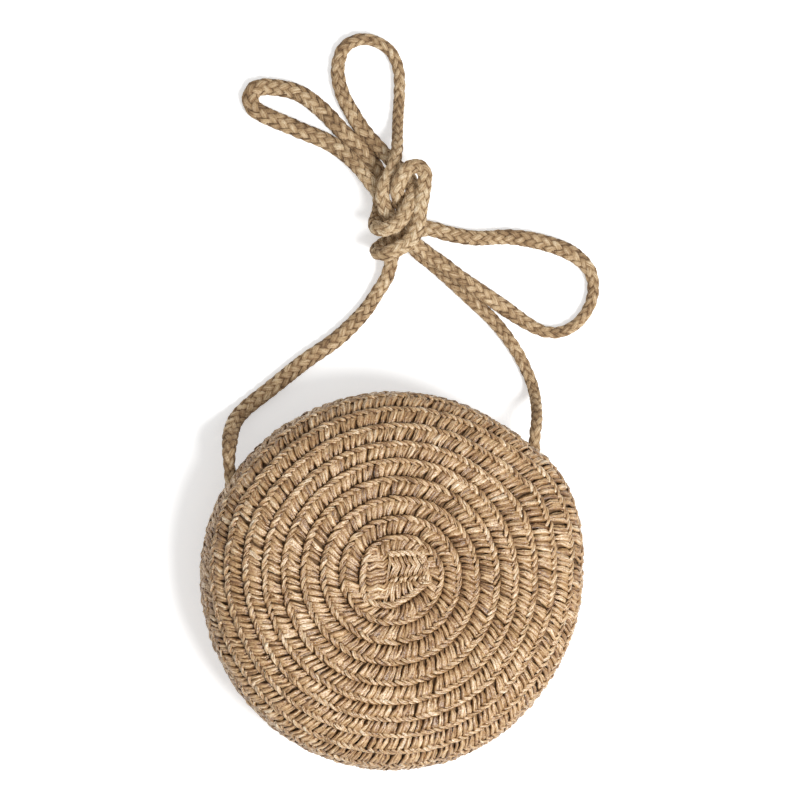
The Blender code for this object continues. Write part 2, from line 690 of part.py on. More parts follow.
def read_out(line, spacing, turn_limit):
    """Points along a dense line: one each spacing, and closer where the line turns."""
    kept = [line[0]]
    travelled = 0.0
    turned = 0.0
    for index in range(1, len(line) - 1):
        step_in = line[index] - line[index - 1]
        step_out = line[index + 1] - line[index]
        travelled += np.linalg.norm(step_in)
        cosine = np.dot(step_in, step_out) / (np.linalg.norm(step_in) * np.linalg.norm(step_out))
        turned += math.degrees(math.acos(min(1.0, max(-1.0, cosine))))
        if travelled >= spacing or turned >= turn_limit:
            kept.append(line[index])
            travelled = 0.0
            turned = 0.0
    kept.append(line[-1])
    return np.array(kept)


def least_self_gap(line, diameter):
    """The least distance between two places of a line that aren't neighbours along it."""
    lengths = np.linalg.norm(np.diff(line, axis=0), axis=1)
    along = np.concatenate(([0.0], np.cumsum(lengths)))
    distance = np.linalg.norm(line[:, None, :] - line[None, :, :], axis=2)
    apart = np.abs(along[:, None] - along[None, :])
    distance[apart < ROPE_NEIGHBOUR_DIAMETERS * diameter] = np.inf
    return float(distance.min()) - diameter


def domed_tube_points(points, radius):
    """Point places and radius shares with a half ball beyond each end."""
    turns = np.radians(ROPE_DOME_TURNS)
    first = (points[1] - points[0]) / np.linalg.norm(points[1] - points[0])
    last = (points[-1] - points[-2]) / np.linalg.norm(points[-1] - points[-2])
    head = [points[0] - first * radius * math.cos(turn) for turn in turns]
    tail = [points[-1] + last * radius * math.cos(turn) for turn in turns[::-1]]
    shares = np.concatenate((np.sin(turns), np.ones(len(points)), np.sin(turns[::-1])))
    return np.vstack((head, points, tail)), shares


def add_tube(name, points, shares, diameter, origin, surface):
    curve = bpy.data.curves.new(name, "CURVE")
    curve.dimensions = "3D"
    curve.bevel_depth = diameter / 2
    curve.bevel_resolution = ROPE_BEVEL_RESOLUTION
    curve.use_fill_caps = True
    curve.twist_mode = "MINIMUM"
    spline = curve.splines.new("POLY")
    spline.points.add(len(points) - 1)
    for spot, place, share in zip(spline.points, points, shares):
        spot.co = (*(place - np.asarray(origin)), 1.0)
        spot.radius = share
    curve.materials.append(surface)
    item = bpy.data.objects.new(name, curve)
    item.location = origin
    bpy.context.scene.collection.objects.link(item)
    return item


def make_strap(rope_cotton):
    """The free rope of the strap, from one side of the bag to the other."""
    left_exit = np.array((-ROPE_EXIT_X, ROPE_EXIT_Y, SEAM_Z))
    right_exit = np.array((ROPE_EXIT_X, ROPE_EXIT_Y, SEAM_Z))
    route = np.vstack((left_exit, np.array(STRAP_ROUTE) * mm, right_exit))
    line = smooth_curve(route, ROPE_CURVE_STEPS)
    length = float(np.linalg.norm(np.diff(line, axis=0), axis=1).sum())
    print("strap rope length", round(length, 4), "m")
    print("strap rope least gap to itself", round(least_self_gap(line, ROPE_DIAMETER) / mm, 2), "mm")
    places = read_out(line, ROPE_POINT_DIAMETERS * ROPE_DIAMETER, ROPE_POINT_TURN)
    points, shares = domed_tube_points(places, ROPE_RADIUS)
    print("strap rope points", len(points))
    return add_tube("strap_rope", points, shares, ROPE_DIAMETER, tuple(left_exit), rope_cotton)


def make_strap_ends(rope_cotton, whipping_thread):
    """The stretch of rope inside the bag at each side, with its whipping."""
    for side, label in ((-1, "left"), (1, "right")):
        x = side * ROPE_EXIT_X
        start_y = ROPE_EXIT_Y - ROPE_RADIUS - FIT_GAP
        end_y = start_y - ROPE_INNER_LENGTH
        ends = np.array(((x, start_y, SEAM_Z), (x, end_y, SEAM_Z)))
        add_tube("strap_end_" + label, ends, (1.0, 1.0), ROPE_DIAMETER, tuple(ends[0]), rope_cotton)
        bore = ROPE_RADIUS + FIT_GAP
        outside = bore + WHIPPING_WALL
        low_y = end_y + WHIPPING_END_MARGIN
        high_y = low_y + WHIPPING_LENGTH
        vertices = []
        faces = []
        corners = ((bore, low_y), (outside, low_y), (outside, high_y), (bore, high_y))
        for turn in range(WHIPPING_SIDES):
            angle = 2 * math.pi * turn / WHIPPING_SIDES
            for radius, y in corners:
                vertices.append((x + radius * math.cos(angle), y, SEAM_Z + radius * math.sin(angle)))
        for turn in range(WHIPPING_SIDES):
            here = turn * len(corners)
            there = (turn + 1) % WHIPPING_SIDES * len(corners)
            for corner in range(len(corners)):
                after = (corner + 1) % len(corners)
                faces.append((here + corner, there + corner, there + after, here + after))
        add_mesh_object("strap_whipping_" + label, vertices, faces, whipping_thread)


def main():
    clear_scene()
    straw = material("braided_paper_straw", (0.52, 0.33, 0.18), 0.75)
    lining_cloth = material("lining_cloth", (0.62, 0.5, 0.36), 0.9)
    tape_cloth = material("zip_tape_cloth", (0.46, 0.33, 0.2), 0.85)
    coil_nylon = material("zip_coil_nylon", (0.42, 0.3, 0.18), 0.45)
    zip_metal = material("zip_metal", (0.72, 0.6, 0.4), 0.3, 1.0)
    rope_cotton = material("braided_rope", (0.5, 0.35, 0.2), 0.85)
    whipping_thread = material("whipping_thread", (0.4, 0.28, 0.16), 0.8)
    make_shells(straw, lining_cloth)
    make_zip_chain(tape_cloth, coil_nylon, zip_metal)
    slider = make_slider(zip_metal)
    make_pull(zip_metal, slider)
    make_strap(rope_cotton)
    make_strap_ends(rope_cotton, whipping_thread)


main()
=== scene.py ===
# %% [markdown]
# A round crossbody bag of straw braid
#
# The bag is two shallow dishes of paper straw braid, sewn in a spiral and joined rim to
# rim, with a zip in the mouth at the top and one long braided rope as its strap.
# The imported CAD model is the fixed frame: every surface below is laid on it.

# %% Load the frame
import math
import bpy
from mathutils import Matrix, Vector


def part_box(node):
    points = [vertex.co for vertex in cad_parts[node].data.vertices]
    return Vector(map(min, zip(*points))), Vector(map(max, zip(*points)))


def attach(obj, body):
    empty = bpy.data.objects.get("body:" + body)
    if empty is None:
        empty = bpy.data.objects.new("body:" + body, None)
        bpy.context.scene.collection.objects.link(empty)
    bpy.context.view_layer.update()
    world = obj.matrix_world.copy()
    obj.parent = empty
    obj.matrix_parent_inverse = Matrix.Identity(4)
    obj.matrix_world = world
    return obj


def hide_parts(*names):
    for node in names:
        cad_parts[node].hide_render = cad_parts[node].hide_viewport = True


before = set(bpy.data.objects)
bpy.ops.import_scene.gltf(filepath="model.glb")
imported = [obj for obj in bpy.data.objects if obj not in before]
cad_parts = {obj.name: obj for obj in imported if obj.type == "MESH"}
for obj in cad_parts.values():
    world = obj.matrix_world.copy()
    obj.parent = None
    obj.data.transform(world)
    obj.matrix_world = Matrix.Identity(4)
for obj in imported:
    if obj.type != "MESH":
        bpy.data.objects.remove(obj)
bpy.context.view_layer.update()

from types import SimpleNamespace

import bpy
import numpy as np
from mathutils import Matrix

mm = 0.001
UP = (0.0, 0.0, 1.0)
random = np.random.default_rng(7)
print("pieces in the frame:", len(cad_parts))

# %% [markdown]
# The camera
#
# A camera could be placed by eye. This one is worked out from the picture it has to
# match: it looks almost straight down, tilted a little to the left and to the back, from
# as far as a product photograph is taken, with the lens that gives the picture's scale.

# %% Camera
IMAGE_SIZE = 800
SENSOR_WIDTH = 36.0
CAMERA_DISTANCE = 1300 * mm
MM_PER_PIXEL = 0.47
CAMERA_TILT_LEFT = math.radians(9.0)
CAMERA_TILT_BACK = math.radians(3.5)
CAMERA_ROLL = math.radians(4.3)
BAG_MIDDLE_PIXEL = (392.3, 579.3)

bag_high = np.array(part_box("front_shell")[1])
BAG_RADIUS = bag_high[1]
SEAM_Z = bag_high[2] / 2


def unit(vector):
    """A vector, or each of an array of them, divided by its length."""
    vector = np.asarray(vector, dtype=float)
    return vector / np.linalg.norm(vector, axis=-1, keepdims=True)


def place_item(name, data, right, back, place):
    """A camera or lamp as an object that looks along minus back: the columns of its
    matrix are its three axes and its place."""
    item = bpy.data.objects.new(name, data)
    bpy.context.scene.collection.objects.link(item)
    matrix = np.eye(4)
    matrix[:3] = np.column_stack((right, np.cross(back, right), back, place))
    item.matrix_world = Matrix(matrix)
    return item


def place_camera():
    """The camera stands off the bag's middle along its view line, then slides sideways
    until that middle falls on its pixel."""
    right = np.array((math.cos(CAMERA_ROLL), -math.sin(CAMERA_ROLL), 0.0))
    up = np.array((math.sin(CAMERA_ROLL), math.cos(CAMERA_ROLL), 0.0))
    tilt = -math.tan(CAMERA_TILT_LEFT) * right - math.tan(CAMERA_TILT_BACK) * up
    back = unit(tilt + (0, 0, 1))
    right = unit(np.cross(up, back))
    up = np.cross(back, right)
    off_right, off_down = (np.array(BAG_MIDDLE_PIXEL) - IMAGE_SIZE / 2) * MM_PER_PIXEL * mm
    place = (0, 0, SEAM_Z) + CAMERA_DISTANCE * back - off_right * right + off_down * up
    lens = bpy.data.cameras.new("photo_camera")
    lens.sensor_width = SENSOR_WIDTH
    lens.lens = SENSOR_WIDTH * CAMERA_DISTANCE / mm / MM_PER_PIXEL / IMAGE_SIZE
    bpy.context.scene.camera = place_item("photo_camera", lens, right, back, place)
    return lens


photo_lens = place_camera()
print("lens", round(photo_lens.lens, 1), "mm")

# %% [markdown]
# The strap's route
#
# The strap is one limp rope of 1.1 m. Its route is the CAD's own list of places, chosen
# along the picture: up the left leg, through the knot four times with a loop
# hanging out each time, and back down the right leg. A smooth cubic runs through them.

# %% Route of the strap rope, in metres once it is scaled
LEFT_LEG = (
    (-72.6, 63.5, 25.2), (-71.5, 69, 21), (-69.5, 75, 13.5), (-66, 81, 6.5),
    (-60, 86.5, 3.2), (-49, 94, 3), (-31, 106.5, 3), (-14.5, 116.5, 3),
    (-0.5, 128.5, 3), (7, 138, 3.4), (11.5, 144.5, 5.2),
)
LEG_THROUGH_KNOT = (
    (13.5, 151, 7.8), (15, 157.5, 9.4), (15.7, 163.5, 9.4), (15.4, 169.5, 9.2),
    (14, 176, 9.2), (10.5, 183, 9.3), (7, 188.5, 9.2), (0, 199.5, 6.2),
)
LEFT_LOOP = (
    (-11.5, 210, 3.2), (-26.5, 217.5, 3), (-40.5, 225, 3), (-46.5, 229.5, 3),
    (-48, 234, 3), (-45.5, 238.5, 3), (-39, 239.5, 3), (-25, 236, 3),
    (-13.5, 227, 3), (-4, 216, 3), (6.5, 204.5, 3),
)
FIRST_BAND = (
    (10.5, 197.5, 3), (12, 191.5, 3), (11.5, 183.5, 3), (10.6, 177, 3.4),
    (9, 173.5, 6), (7.3, 170.8, 10), (6.4, 168.4, 14.8), (7, 166.2, 19),
    (10.2, 165.8, 21.6), (14.5, 167.2, 22), (18.5, 171, 21.8), (22.5, 177.5, 20.6),
    (24.2, 184, 17.2), (24, 189.5, 13.2), (21.5, 195, 10.2), (17.8, 199.5, 8.5),
)
TOP_LOOP = (
    (13.3, 205.5, 6.2), (7, 215, 3.2), (2, 224.5, 3), (-2.5, 234, 3),
    (-4.5, 245.5, 3), (-2, 255, 3), (2.5, 259, 3), (9, 260.5, 3),
    (16, 258.5, 3), (22, 253.5, 3), (25, 244.5, 3), (24.5, 232.5, 3),
    (23, 222, 3.2),
)
STRAND_DOWN_THE_LEFT = (
    (21.7, 214, 6), (20, 206, 11.8), (17.8, 199, 15.8), (15, 193, 15.9),
    (12, 187.5, 15.7), (10.5, 182, 15.6), (11.5, 176, 15.5), (14, 170.5, 15.5),
    (16.7, 166, 15.6), (20, 162, 15.8), (23.7, 159, 15.3), (27.8, 156.5, 13.3),
    (32, 153.2, 10.9), (38, 149, 9.3),
)
RIGHT_LOOP = (
    (45.5, 142.5, 8.6), (56.5, 134.5, 6.8), (67.5, 126.5, 4.2), (80.5, 117, 3),
    (87.5, 113.5, 3), (95.5, 113, 3), (104, 117, 3), (110.5, 125, 3),
    (113, 134, 3), (111.5, 142.5, 3), (104, 150.5, 3), (91, 156.5, 3),
    (74, 160.5, 3), (56.5, 161, 3), (43, 164, 3),
)
SECOND_BAND = (
    (34, 167, 3), (27, 166, 3), (21, 164.5, 3), (14.5, 162, 3),
    (11, 160, 3.8), (8, 158, 7.8), (6.5, 156.5, 13), (6.5, 154.8, 18.2),
    (9.5, 154, 21.6), (14, 155.5, 22), (19.5, 158, 22), (24, 161.5, 22),
    (27, 167, 21.9), (28.5, 174.5, 21.6), (30.5, 182.5, 21.3), (31.3, 188, 21.3),
    (30.6, 192.2, 21.6), (27.6, 194.8, 22), (23.4, 194.3, 22), (20, 190.5, 21.4),
    (17.8, 186, 19.2), (18, 181, 16.4),
)
ARCH_FOOT = (
    (20.2, 175.5, 13.5), (22.3, 170, 10.4), (23, 164.5, 9.4), (23.9, 160, 8.2),
    (26.3, 156.5, 6), (29.5, 153.7, 4), (33.5, 150.5, 3),
)
RIGHT_LEG = (
    (41.5, 142.5, 3), (51.5, 132, 3), (63, 119.5, 3), (72.5, 105, 3),
    (78, 91.5, 3.2), (79, 84, 6.2), (78, 77, 13), (76, 70, 21),
    (73.8, 63.8, 25.3),
)
ROPE_EXIT_ANGLE = math.radians(51.3)
ROPE_DIAMETER = 5.8 * mm
ROPE_EXIT_RADIUS = BAG_RADIUS + 3.3 * mm

exit_out = ROPE_EXIT_RADIUS * math.sin(ROPE_EXIT_ANGLE)
exit_up = ROPE_EXIT_RADIUS * math.cos(ROPE_EXIT_ANGLE)
rope_exit = np.array((exit_out, exit_up, SEAM_Z))
left_exit = rope_exit * (-1, 1, 1)
strap_route = np.vstack((
    left_exit / mm,
    LEFT_LEG, LEG_THROUGH_KNOT, LEFT_LOOP, FIRST_BAND, TOP_LOOP,
    STRAND_DOWN_THE_LEFT, RIGHT_LOOP, SECOND_BAND, ARCH_FOOT, RIGHT_LEG,
    rope_exit / mm,
)) * mm


def smooth_curve(points, steps):
    """A cubic through the points. The slope at a point is the chord across its two
    neighbours, shared out by the lengths of the spans, so close points don't overshoot."""
    padded = np.vstack((points[:1], points, points[-1:]))
    before, start, end, after = padded[:-3], padded[1:-2], padded[2:-1], padded[3:]
    steps_between = (start - before, end - start, after - end)
    span_before, span, span_after = (
        np.linalg.norm(step, axis=1, keepdims=True) for step in steps_between
    )
    slope_start = (end - before) / (span + span_before) * span
    slope_end = (after - start) / (span + span_after) * span
    share = np.linspace(0.0, 1.0, steps, endpoint=False)[None, :, None]
    curve = (
        (2 * share**3 - 3 * share**2 + 1) * start[:, None]
        + (share**3 - 2 * share**2 + share) * slope_start[:, None]
        + (3 * share**2 - 2 * share**3) * end[:, None]
        + (share**3 - share**2) * slope_end[:, None]
    )
    return np.vstack((curve.reshape(-1, 3), points[-1:]))


def travelled(line):
    """How far along the line each of its points is: the running sum of its steps."""
    return np.concatenate(([0.0], np.cumsum(np.linalg.norm(np.diff(line, axis=0), axis=1))))


def evenly(line, spacing):
    """The same line with points an even step apart, read off its length."""
    along = travelled(line)
    wanted = np.linspace(0.0, along[-1], int(along[-1] / spacing) + 1)
    return np.column_stack([np.interp(wanted, along, line[:, axis]) for axis in range(3)])


ROPE_RING_STEP = 1.15 * mm

strap_line = evenly(smooth_curve(strap_route, 12), ROPE_RING_STEP)

# %% [markdown]
# Making meshes from arrays
#
# Almost everything here is a tube of some kind: a strip of straw, a rope strand, a zip
# coil. So one function turns an array of rings into a closed mesh. It numbers all faces at
# once instead of visiting vertices one by one, and it also writes the surface's own map:
# how far round and how far along each corner lies. The materials read that map.

# %% Mesh helpers
def turned_outwards(points, faces):
    """Faces in the order that makes the enclosed volume positive: the volume is a sixth
    of the sum of each triangle's first corner dotted with the cross of its other two."""
    first, second, third, fourth = (points[faces[:, corner]] for corner in range(4))
    volume = np.einsum("ij,ij->", first, np.cross(second, third))
    volume += np.einsum("ij,ij->", first, np.cross(third, fourth))
    return volume > 0


def mesh_piece(name, points, face_lists, uv_lists, surface, tone=None):
    """An object from points, faces in groups of one size, and each corner's map place."""
    corners = np.concatenate([faces.ravel() for faces in face_lists])
    sizes = np.concatenate([np.full(len(faces), faces.shape[1]) for faces in face_lists])
    mesh = bpy.data.meshes.new(name)
    mesh.vertices.add(len(points))
    mesh.vertices.foreach_set("co", points.ravel())
    mesh.loops.add(len(corners))
    mesh.loops.foreach_set("vertex_index", corners.astype(np.int32))
    mesh.polygons.add(len(sizes))
    mesh.polygons.foreach_set("loop_start", (np.cumsum(sizes) - sizes).astype(np.int32))
    mesh.polygons.foreach_set("use_smooth", np.ones(len(sizes), dtype=bool))
    mesh.update(calc_edges=True)
    layer = mesh.uv_layers.new(name="surface_map")
    layer.data.foreach_set("uv", np.concatenate([uv.reshape(-1, 2) for uv in uv_lists]).ravel())
    if tone is not None:
        mesh.attributes.new("tone", "FLOAT", "POINT").data.foreach_set("value", tone.ravel())
    mesh.materials.append(surface)
    piece = bpy.data.objects.new(name, mesh)
    bpy.context.scene.collection.objects.link(piece)
    return piece


def tube_arrays(points, along, tone):
    """Faces of closed tubes: points[tube, ring, side] are the corners, along[tube, ring]
    the length up to each ring. A quad joins each corner to the next side and the next
    ring, and one flat face closes each end."""
    tubes, rings, sides, _ = points.shape
    side = np.arange(sides)
    after = (side + 1) % sides
    first = np.arange(tubes)[:, None] * rings * sides
    here = (first + np.arange(rings - 1) * sides)[..., None]
    next_ring = here + sides
    quads = np.stack((here + side, here + after, next_ring + after, next_ring + side), axis=-1)
    quads = quads.reshape(-1, 4)
    across = np.stack((side, side + 1, side + 1, side), axis=-1) / sides
    low, high = along[:, :-1, None, None], along[:, 1:, None, None]
    lengthways = np.concatenate((low, low, high, high), axis=-1)
    quad_uv = np.stack(np.broadcast_arrays(across, lengthways), axis=-1).reshape(-1, 4, 2)
    caps = np.concatenate((first + side[::-1], first + (rings - 1) * sides + side))
    cap_along = np.concatenate((along[:, :1], along[:, -1:]))
    cap_uv = np.stack(np.broadcast_arrays(side / sides, cap_along), axis=-1)
    flat_points = points.reshape(-1, 3)
    if not turned_outwards(flat_points, quads):
        quads, quad_uv, caps, cap_uv = (array[:, ::-1] for array in (quads, quad_uv, caps, cap_uv))
    return flat_points, quads, caps, quad_uv, cap_uv, tone.ravel()


def join_tubes(name, parts, surface):
    """One object from several sets of tubes: each set's corner numbers are moved on by
    the number of points before it."""
    points, quads, caps, quad_uv, cap_uv, tone = zip(*parts)
    starts = np.cumsum([0] + [len(part) for part in points[:-1]])
    faces = [part + start for group in (quads, caps) for part, start in zip(group, starts)]
    return mesh_piece(
        name, np.concatenate(points), faces, quad_uv + cap_uv, surface, np.concatenate(tone)
    )


def add_tubes(name, points, along, surface, tone=None):
    """One set of tubes as an object. Without tones of its own it gets the middle one."""
    tone = np.full(points.shape[:3], 0.5, dtype=np.float32) if tone is None else tone
    return join_tubes(name, [tube_arrays(points, along, tone)], surface)


# %% [markdown]
# The finishes
#
# Straw, rope and cloth all look plain from afar and streaky close up, because they are
# bundles of fibres. One recipe serves them: noise stretched along the surface's own map
# gives the fibres, and each strip's or strand's own tone picks its colour on a ramp. That
# tone holds painted light too: painted highlights on ridges and crowns, painted shade in
# creases, gaps and under neighbours. Straw and rope also get an even noise for the dents of
# crumpled paper and the fuzz of cotton, which darkens the dents: a blotchy tone with
# painted shade in the dents. Both noises lift the surface a little. Numbers that are the
# same all over stay on the shader's own sockets.

# %% Node helpers
def srgb(red, green, blue):
    """A colour picked on screen, 0 to 255, as the linear light that a shader expects."""
    share = np.array((red, green, blue)) / 255
    linear = np.where(share <= 0.04045, share / 12.92, ((share + 0.055) / 1.055) ** 2.4)
    return (*linear, 1.0)


def start_material(name, roughness, metallic=0.0, specular=0.5):
    """A new finish with the numbers that are the same all over it."""
    surface = bpy.data.materials.new(name)
    surface.use_nodes = True
    shader = surface.node_tree.nodes["Principled BSDF"]
    shader.inputs["Roughness"].default_value = roughness
    shader.inputs["Metallic"].default_value = metallic
    shader.inputs["Specular IOR Level"].default_value = specular
    return surface, surface.node_tree.nodes, surface.node_tree.links, shader


def tinted(nodes, links, factor, stops):
    """The colour at the factor on a ramp whose stops are a place and a screen colour."""
    node = nodes.new("ShaderNodeValToRGB")
    elements = node.color_ramp.elements
    for index in (0, -1):
        place, *colour = stops[index]
        elements[index].position, elements[index].color = place, srgb(*colour)
    for place, *colour in stops[1:-1]:
        elements.new(place).color = srgb(*colour)
    links.new(factor, node.inputs["Fac"])
    return node.outputs["Color"]


def maths(nodes, links, operation, *values):
    """A Math node on numbers and other nodes' outputs."""
    node = nodes.new("ShaderNodeMath")
    node.operation = operation
    for socket, value in zip(node.inputs, values):
        if isinstance(value, float):
            socket.default_value = value
        else:
            links.new(value, socket)
    return node.outputs[0]


def stretched_noise(nodes, links, source, stretch, detail):
    """Noise read through a mapping that squeezes it, so it runs out into streaks."""
    mapping = nodes.new("ShaderNodeMapping")
    mapping.inputs["Scale"].default_value = stretch
    links.new(source, mapping.inputs["Vector"])
    noise = nodes.new("ShaderNodeTexNoise")
    noise.inputs["Scale"].default_value = 1.0
    noise.inputs["Detail"].default_value = detail
    links.new(mapping.outputs["Vector"], noise.inputs["Vector"])
    return noise.outputs["Fac"]


def add_bump(nodes, links, shader, height, strength, distance):
    """Tilts the shading as if the surface rose by the distance times the height."""
    bump = nodes.new("ShaderNodeBump")
    bump.inputs["Strength"].default_value = strength
    bump.inputs["Distance"].default_value = distance
    links.new(height, bump.inputs["Height"])
    links.new(bump.outputs["Normal"], shader.inputs["Normal"])


def multiply(nodes, links, first, second):
    """One colour times another, channel by channel."""
    mix = nodes.new("ShaderNodeMix")
    mix.data_type = "RGBA"
    mix.blend_type = "MULTIPLY"
    mix.inputs["Factor"].default_value = 1.0
    links.new(first, mix.inputs[6])
    links.new(second, mix.inputs[7])
    return mix.outputs[2]


# %% Fibre finish
def fibre_material(name, tones, streaks, stretch, roughness, bump, specular=0.5, crinkle=None):
    """Fibres: tone picks the base colour, streaks darken and lighten it along the map.
    Crinkle is even noise on Object coordinates that adds small dents and tints that darken
    them: a blotchy tone and painted shade in the dents. It is given as dents in a metre,
    tints and the dents' height compared with the fibres'."""
    surface, nodes, links, shader = start_material(name, roughness, specular=specular)
    tone = nodes.new("ShaderNodeAttribute")
    tone.attribute_name = "tone"
    surface_map = nodes.new("ShaderNodeUVMap")
    surface_map.uv_map = "surface_map"
    height = fibres = stretched_noise(nodes, links, surface_map.outputs["UV"], stretch, 3.0)
    base = tinted(nodes, links, tone.outputs["Fac"], tones)
    colour = multiply(nodes, links, base, tinted(nodes, links, fibres, streaks))
    if crinkle:
        per_metre, tints, depth = crinkle
        place = nodes.new("ShaderNodeTexCoord").outputs["Object"]
        dents = stretched_noise(nodes, links, place, (per_metre,) * 3, 2.0)
        # The dents are darkened: a blotchy tone and painted shade in the dents.
        colour = multiply(nodes, links, colour, tinted(nodes, links, dents, tints))
        height = maths(nodes, links, "MULTIPLY_ADD", dents, depth, fibres)
    links.new(colour, shader.inputs["Base Color"])
    add_bump(nodes, links, shader, height, 1.0, bump)
    return surface


# %% Straw, rope and ground finishes
STRAW_TONES = (
    (0.0, 104, 76, 52), (0.25, 152, 119, 84), (0.5, 190, 158, 116), (0.75, 230, 203, 164),
    (1.0, 254, 246, 230),
)
# Tints by the dent noise: a blotchy tone and painted shade in the dents.
STRAW_BLOTCH_AND_DENT_SHADE = (
    (0.3, 188, 156, 138), (0.44, 242, 230, 220), (0.56, 255, 255, 252), (0.7, 255, 252, 238),
)
ROPE_TONES = (
    (0.0, 104, 82, 58), (0.3, 170, 145, 114), (0.6, 216, 196, 167), (1.0, 250, 240, 220),
)
# Tints by the dent noise: a blotchy tone and painted shade in the dents.
ROPE_BLOTCH_AND_DENT_SHADE = ((0.3, 212, 192, 174), (0.5, 250, 246, 240), (0.7, 255, 252, 238))

straw_finish = fibre_material(
    "paper_straw", STRAW_TONES,
    ((0.3, 190, 170, 148), (0.5, 234, 224, 210), (0.66, 255, 255, 255)),
    (11.0, 170.0, 1.0), 0.32, 0.16 * mm, specular=0.85, crinkle=(1250.0, STRAW_BLOTCH_AND_DENT_SHADE, 2.4),
)
rope_finish = fibre_material(
    "cotton_jute_rope", ROPE_TONES,
    ((0.3, 176, 156, 132), (0.48, 230, 220, 204), (0.64, 255, 255, 255)),
    (13.0, 230.0, 1.0), 0.75, 0.22 * mm, crinkle=(1500.0, ROPE_BLOTCH_AND_DENT_SHADE, 1.0),
)
# Dark brown: painted shade of the straw's undersides seen between the strips.
shaded_ground_finish, _, _, ground_shader = start_material("straw_ground", 0.9)
ground_shader.inputs["Base Color"].default_value = srgb(122, 92, 62)
print("fibre finishes:", straw_finish.name, rope_finish.name)

# %% [markdown]
# The rope
#
# A round braid has as many strands winding left as right, and they go over and under each
# other. Worked out on the rope's own outline that has a neat form: every strand moves out
# and in three times in each turn, and the two families take opposite turns. Columns of
# lobes then lean to the left and to the right by turns. The rope is soft, so it lies
# pressed flat in some places and round in others, and its legs are pressed together in
# and near the knot.

# %% Sizes of the rope and its strands
ROPE_LAY = 32 * mm
STRANDS_EACH_WAY = 6
WAVES_PER_TURN = 3
WEAVE_PHASE = 0.8
ROPE_WEAVE = 0.48 * mm
STRAND_THICKNESS = 0.85 * mm
STRAND_WIDTH = 1.22 * mm
STRAND_SIDES = 8
# Per side of a strand: painted highlight on its outer crown, painted shade on its flanks and inner
# side, in the gaps between strands.
STRAND_PAINTED_LIGHT = np.array((-0.6, -0.6, -0.22, 0.12, 0.22, 0.12, -0.22, -0.6))
OVER_SPREAD = 0.12
# Painted light: a strand is lighter where it passes over and darker where it dives under.
OVER_UNDER_PAINTED_LIGHT = 0.34
ROPE_TONE = 0.04
ROPE_TONE_SPREAD = 0.1
TONE_WANDER = ((0.1, 11 * mm, 0.0), (0.08, 4.3 * mm, 1.0))
ROPE_SLOW_TURN = 260 * mm
ROPE_LEAST_HEIGHT = 4.9 * mm
ROPE_PLACES = np.array((
    -30, 0, 14, 60, 100, 122, 145, 190, 205, 240, 280, 305, 325, 435, 450, 475, 505, 560,
    590, 680, 702, 722, 742, 762, 782, 802, 822, 990, 1040, 1065, 1085, 1106, 1140,
)) * mm
ROPE_WIDTHS = np.array((
    5.8, 5.8, 7.6, 7.9, 7.9, 6.9, 6.9, 7.0, 8.3, 8.3, 8.3, 8.3, 7.8, 7.2, 7.9, 7.2, 6.0, 5.8,
    7.0, 7.8, 6.0, 5.8, 6.2, 8.0, 8.1, 7.2, 7.8, 7.0, 6.6, 6.0, 5.8, 5.8, 5.8,
)) * mm
PRESSED_PLACES = np.array((
    192, 205, 232, 250, 285, 303, 322, 335, 396, 404, 413, 421, 436, 452, 468, 484, 886, 896,
    908, 919, 927,
)) * mm
PRESSED_SHIFTS = np.array((
    0.0, 0.9, 0.9, 0.0, 0.0, 0.3, 0.3, 0.0, 0.0, 0.7, 0.9, 0.0, 0.0, -1.0, -0.6, 0.0, 0.0, -1.3,
    -1.2, -1.0, 0.0,
)) * mm
KNOT_MIDDLE = np.array((16.0, 176.0)) * mm
KNOT_REACH = 20 * mm
KNOT_FADE = 12 * mm
# Painted light: the knot lies higher than the legs and loops and is painted lighter, as if it
# caught more light.
KNOT_PAINTED_LIGHT = 0.16
SMOOTHED_RINGS = 13
print("strands in the rope:", 2 * STRANDS_EACH_WAY)

# %% Braided rope
def oval_rings(line, first, second, first_half, second_half, sides, start=0.0):
    """Points round each place of a line: the first direction times the cosine of the turn
    and the second times its sine, each times the oval's half size that way."""
    turn = np.arange(sides) / sides * 2 * np.pi + start
    return (
        line[..., None, :]
        + (first_half * np.cos(turn))[..., None] * first[..., None, :]
        + (second_half * np.sin(turn))[..., None] * second[..., None, :]
    )


def carried_frames(line):
    """Directions along, beside and above a line that don't spin about it: a plain side
    direction is turned back by the running sum of its own spin."""
    ahead = unit(np.gradient(line, axis=0))
    beside = unit(np.cross(ahead, (0.31, 0.17, 1.0)))
    above = np.cross(ahead, beside)
    spin = np.einsum("ij,ij->i", np.gradient(beside, axis=0), above)
    turn = -np.cumsum(spin)[:, None]
    sine, cosine = np.sin(turn), np.cos(turn)
    return ahead, cosine * beside + sine * above, cosine * above - sine * beside


def flat_frames(line):
    """Directions level across the line and square to it, to lay the rope's flat side
    along. The level direction is measured as an angle in frames that don't spin, counted
    in half turns because a flat rope looks the same upside down, and then smoothed."""
    ahead, beside, above = carried_frames(line)
    level = unit(np.cross(ahead, UP))
    up, side = (np.einsum("ij,ij->i", level, direction) for direction in (above, beside))
    angle = np.unwrap(2 * np.arctan2(up, side)) / 2
    angle = np.pad(angle, SMOOTHED_RINGS // 2, mode="edge")
    even_weights = np.full(SMOOTHED_RINGS, 1 / SMOOTHED_RINGS)
    angle = np.convolve(angle, even_weights, mode="valid")[:, None]
    sine, cosine = np.sin(angle), np.cos(angle)
    return cosine * beside + sine * above, cosine * above - sine * beside


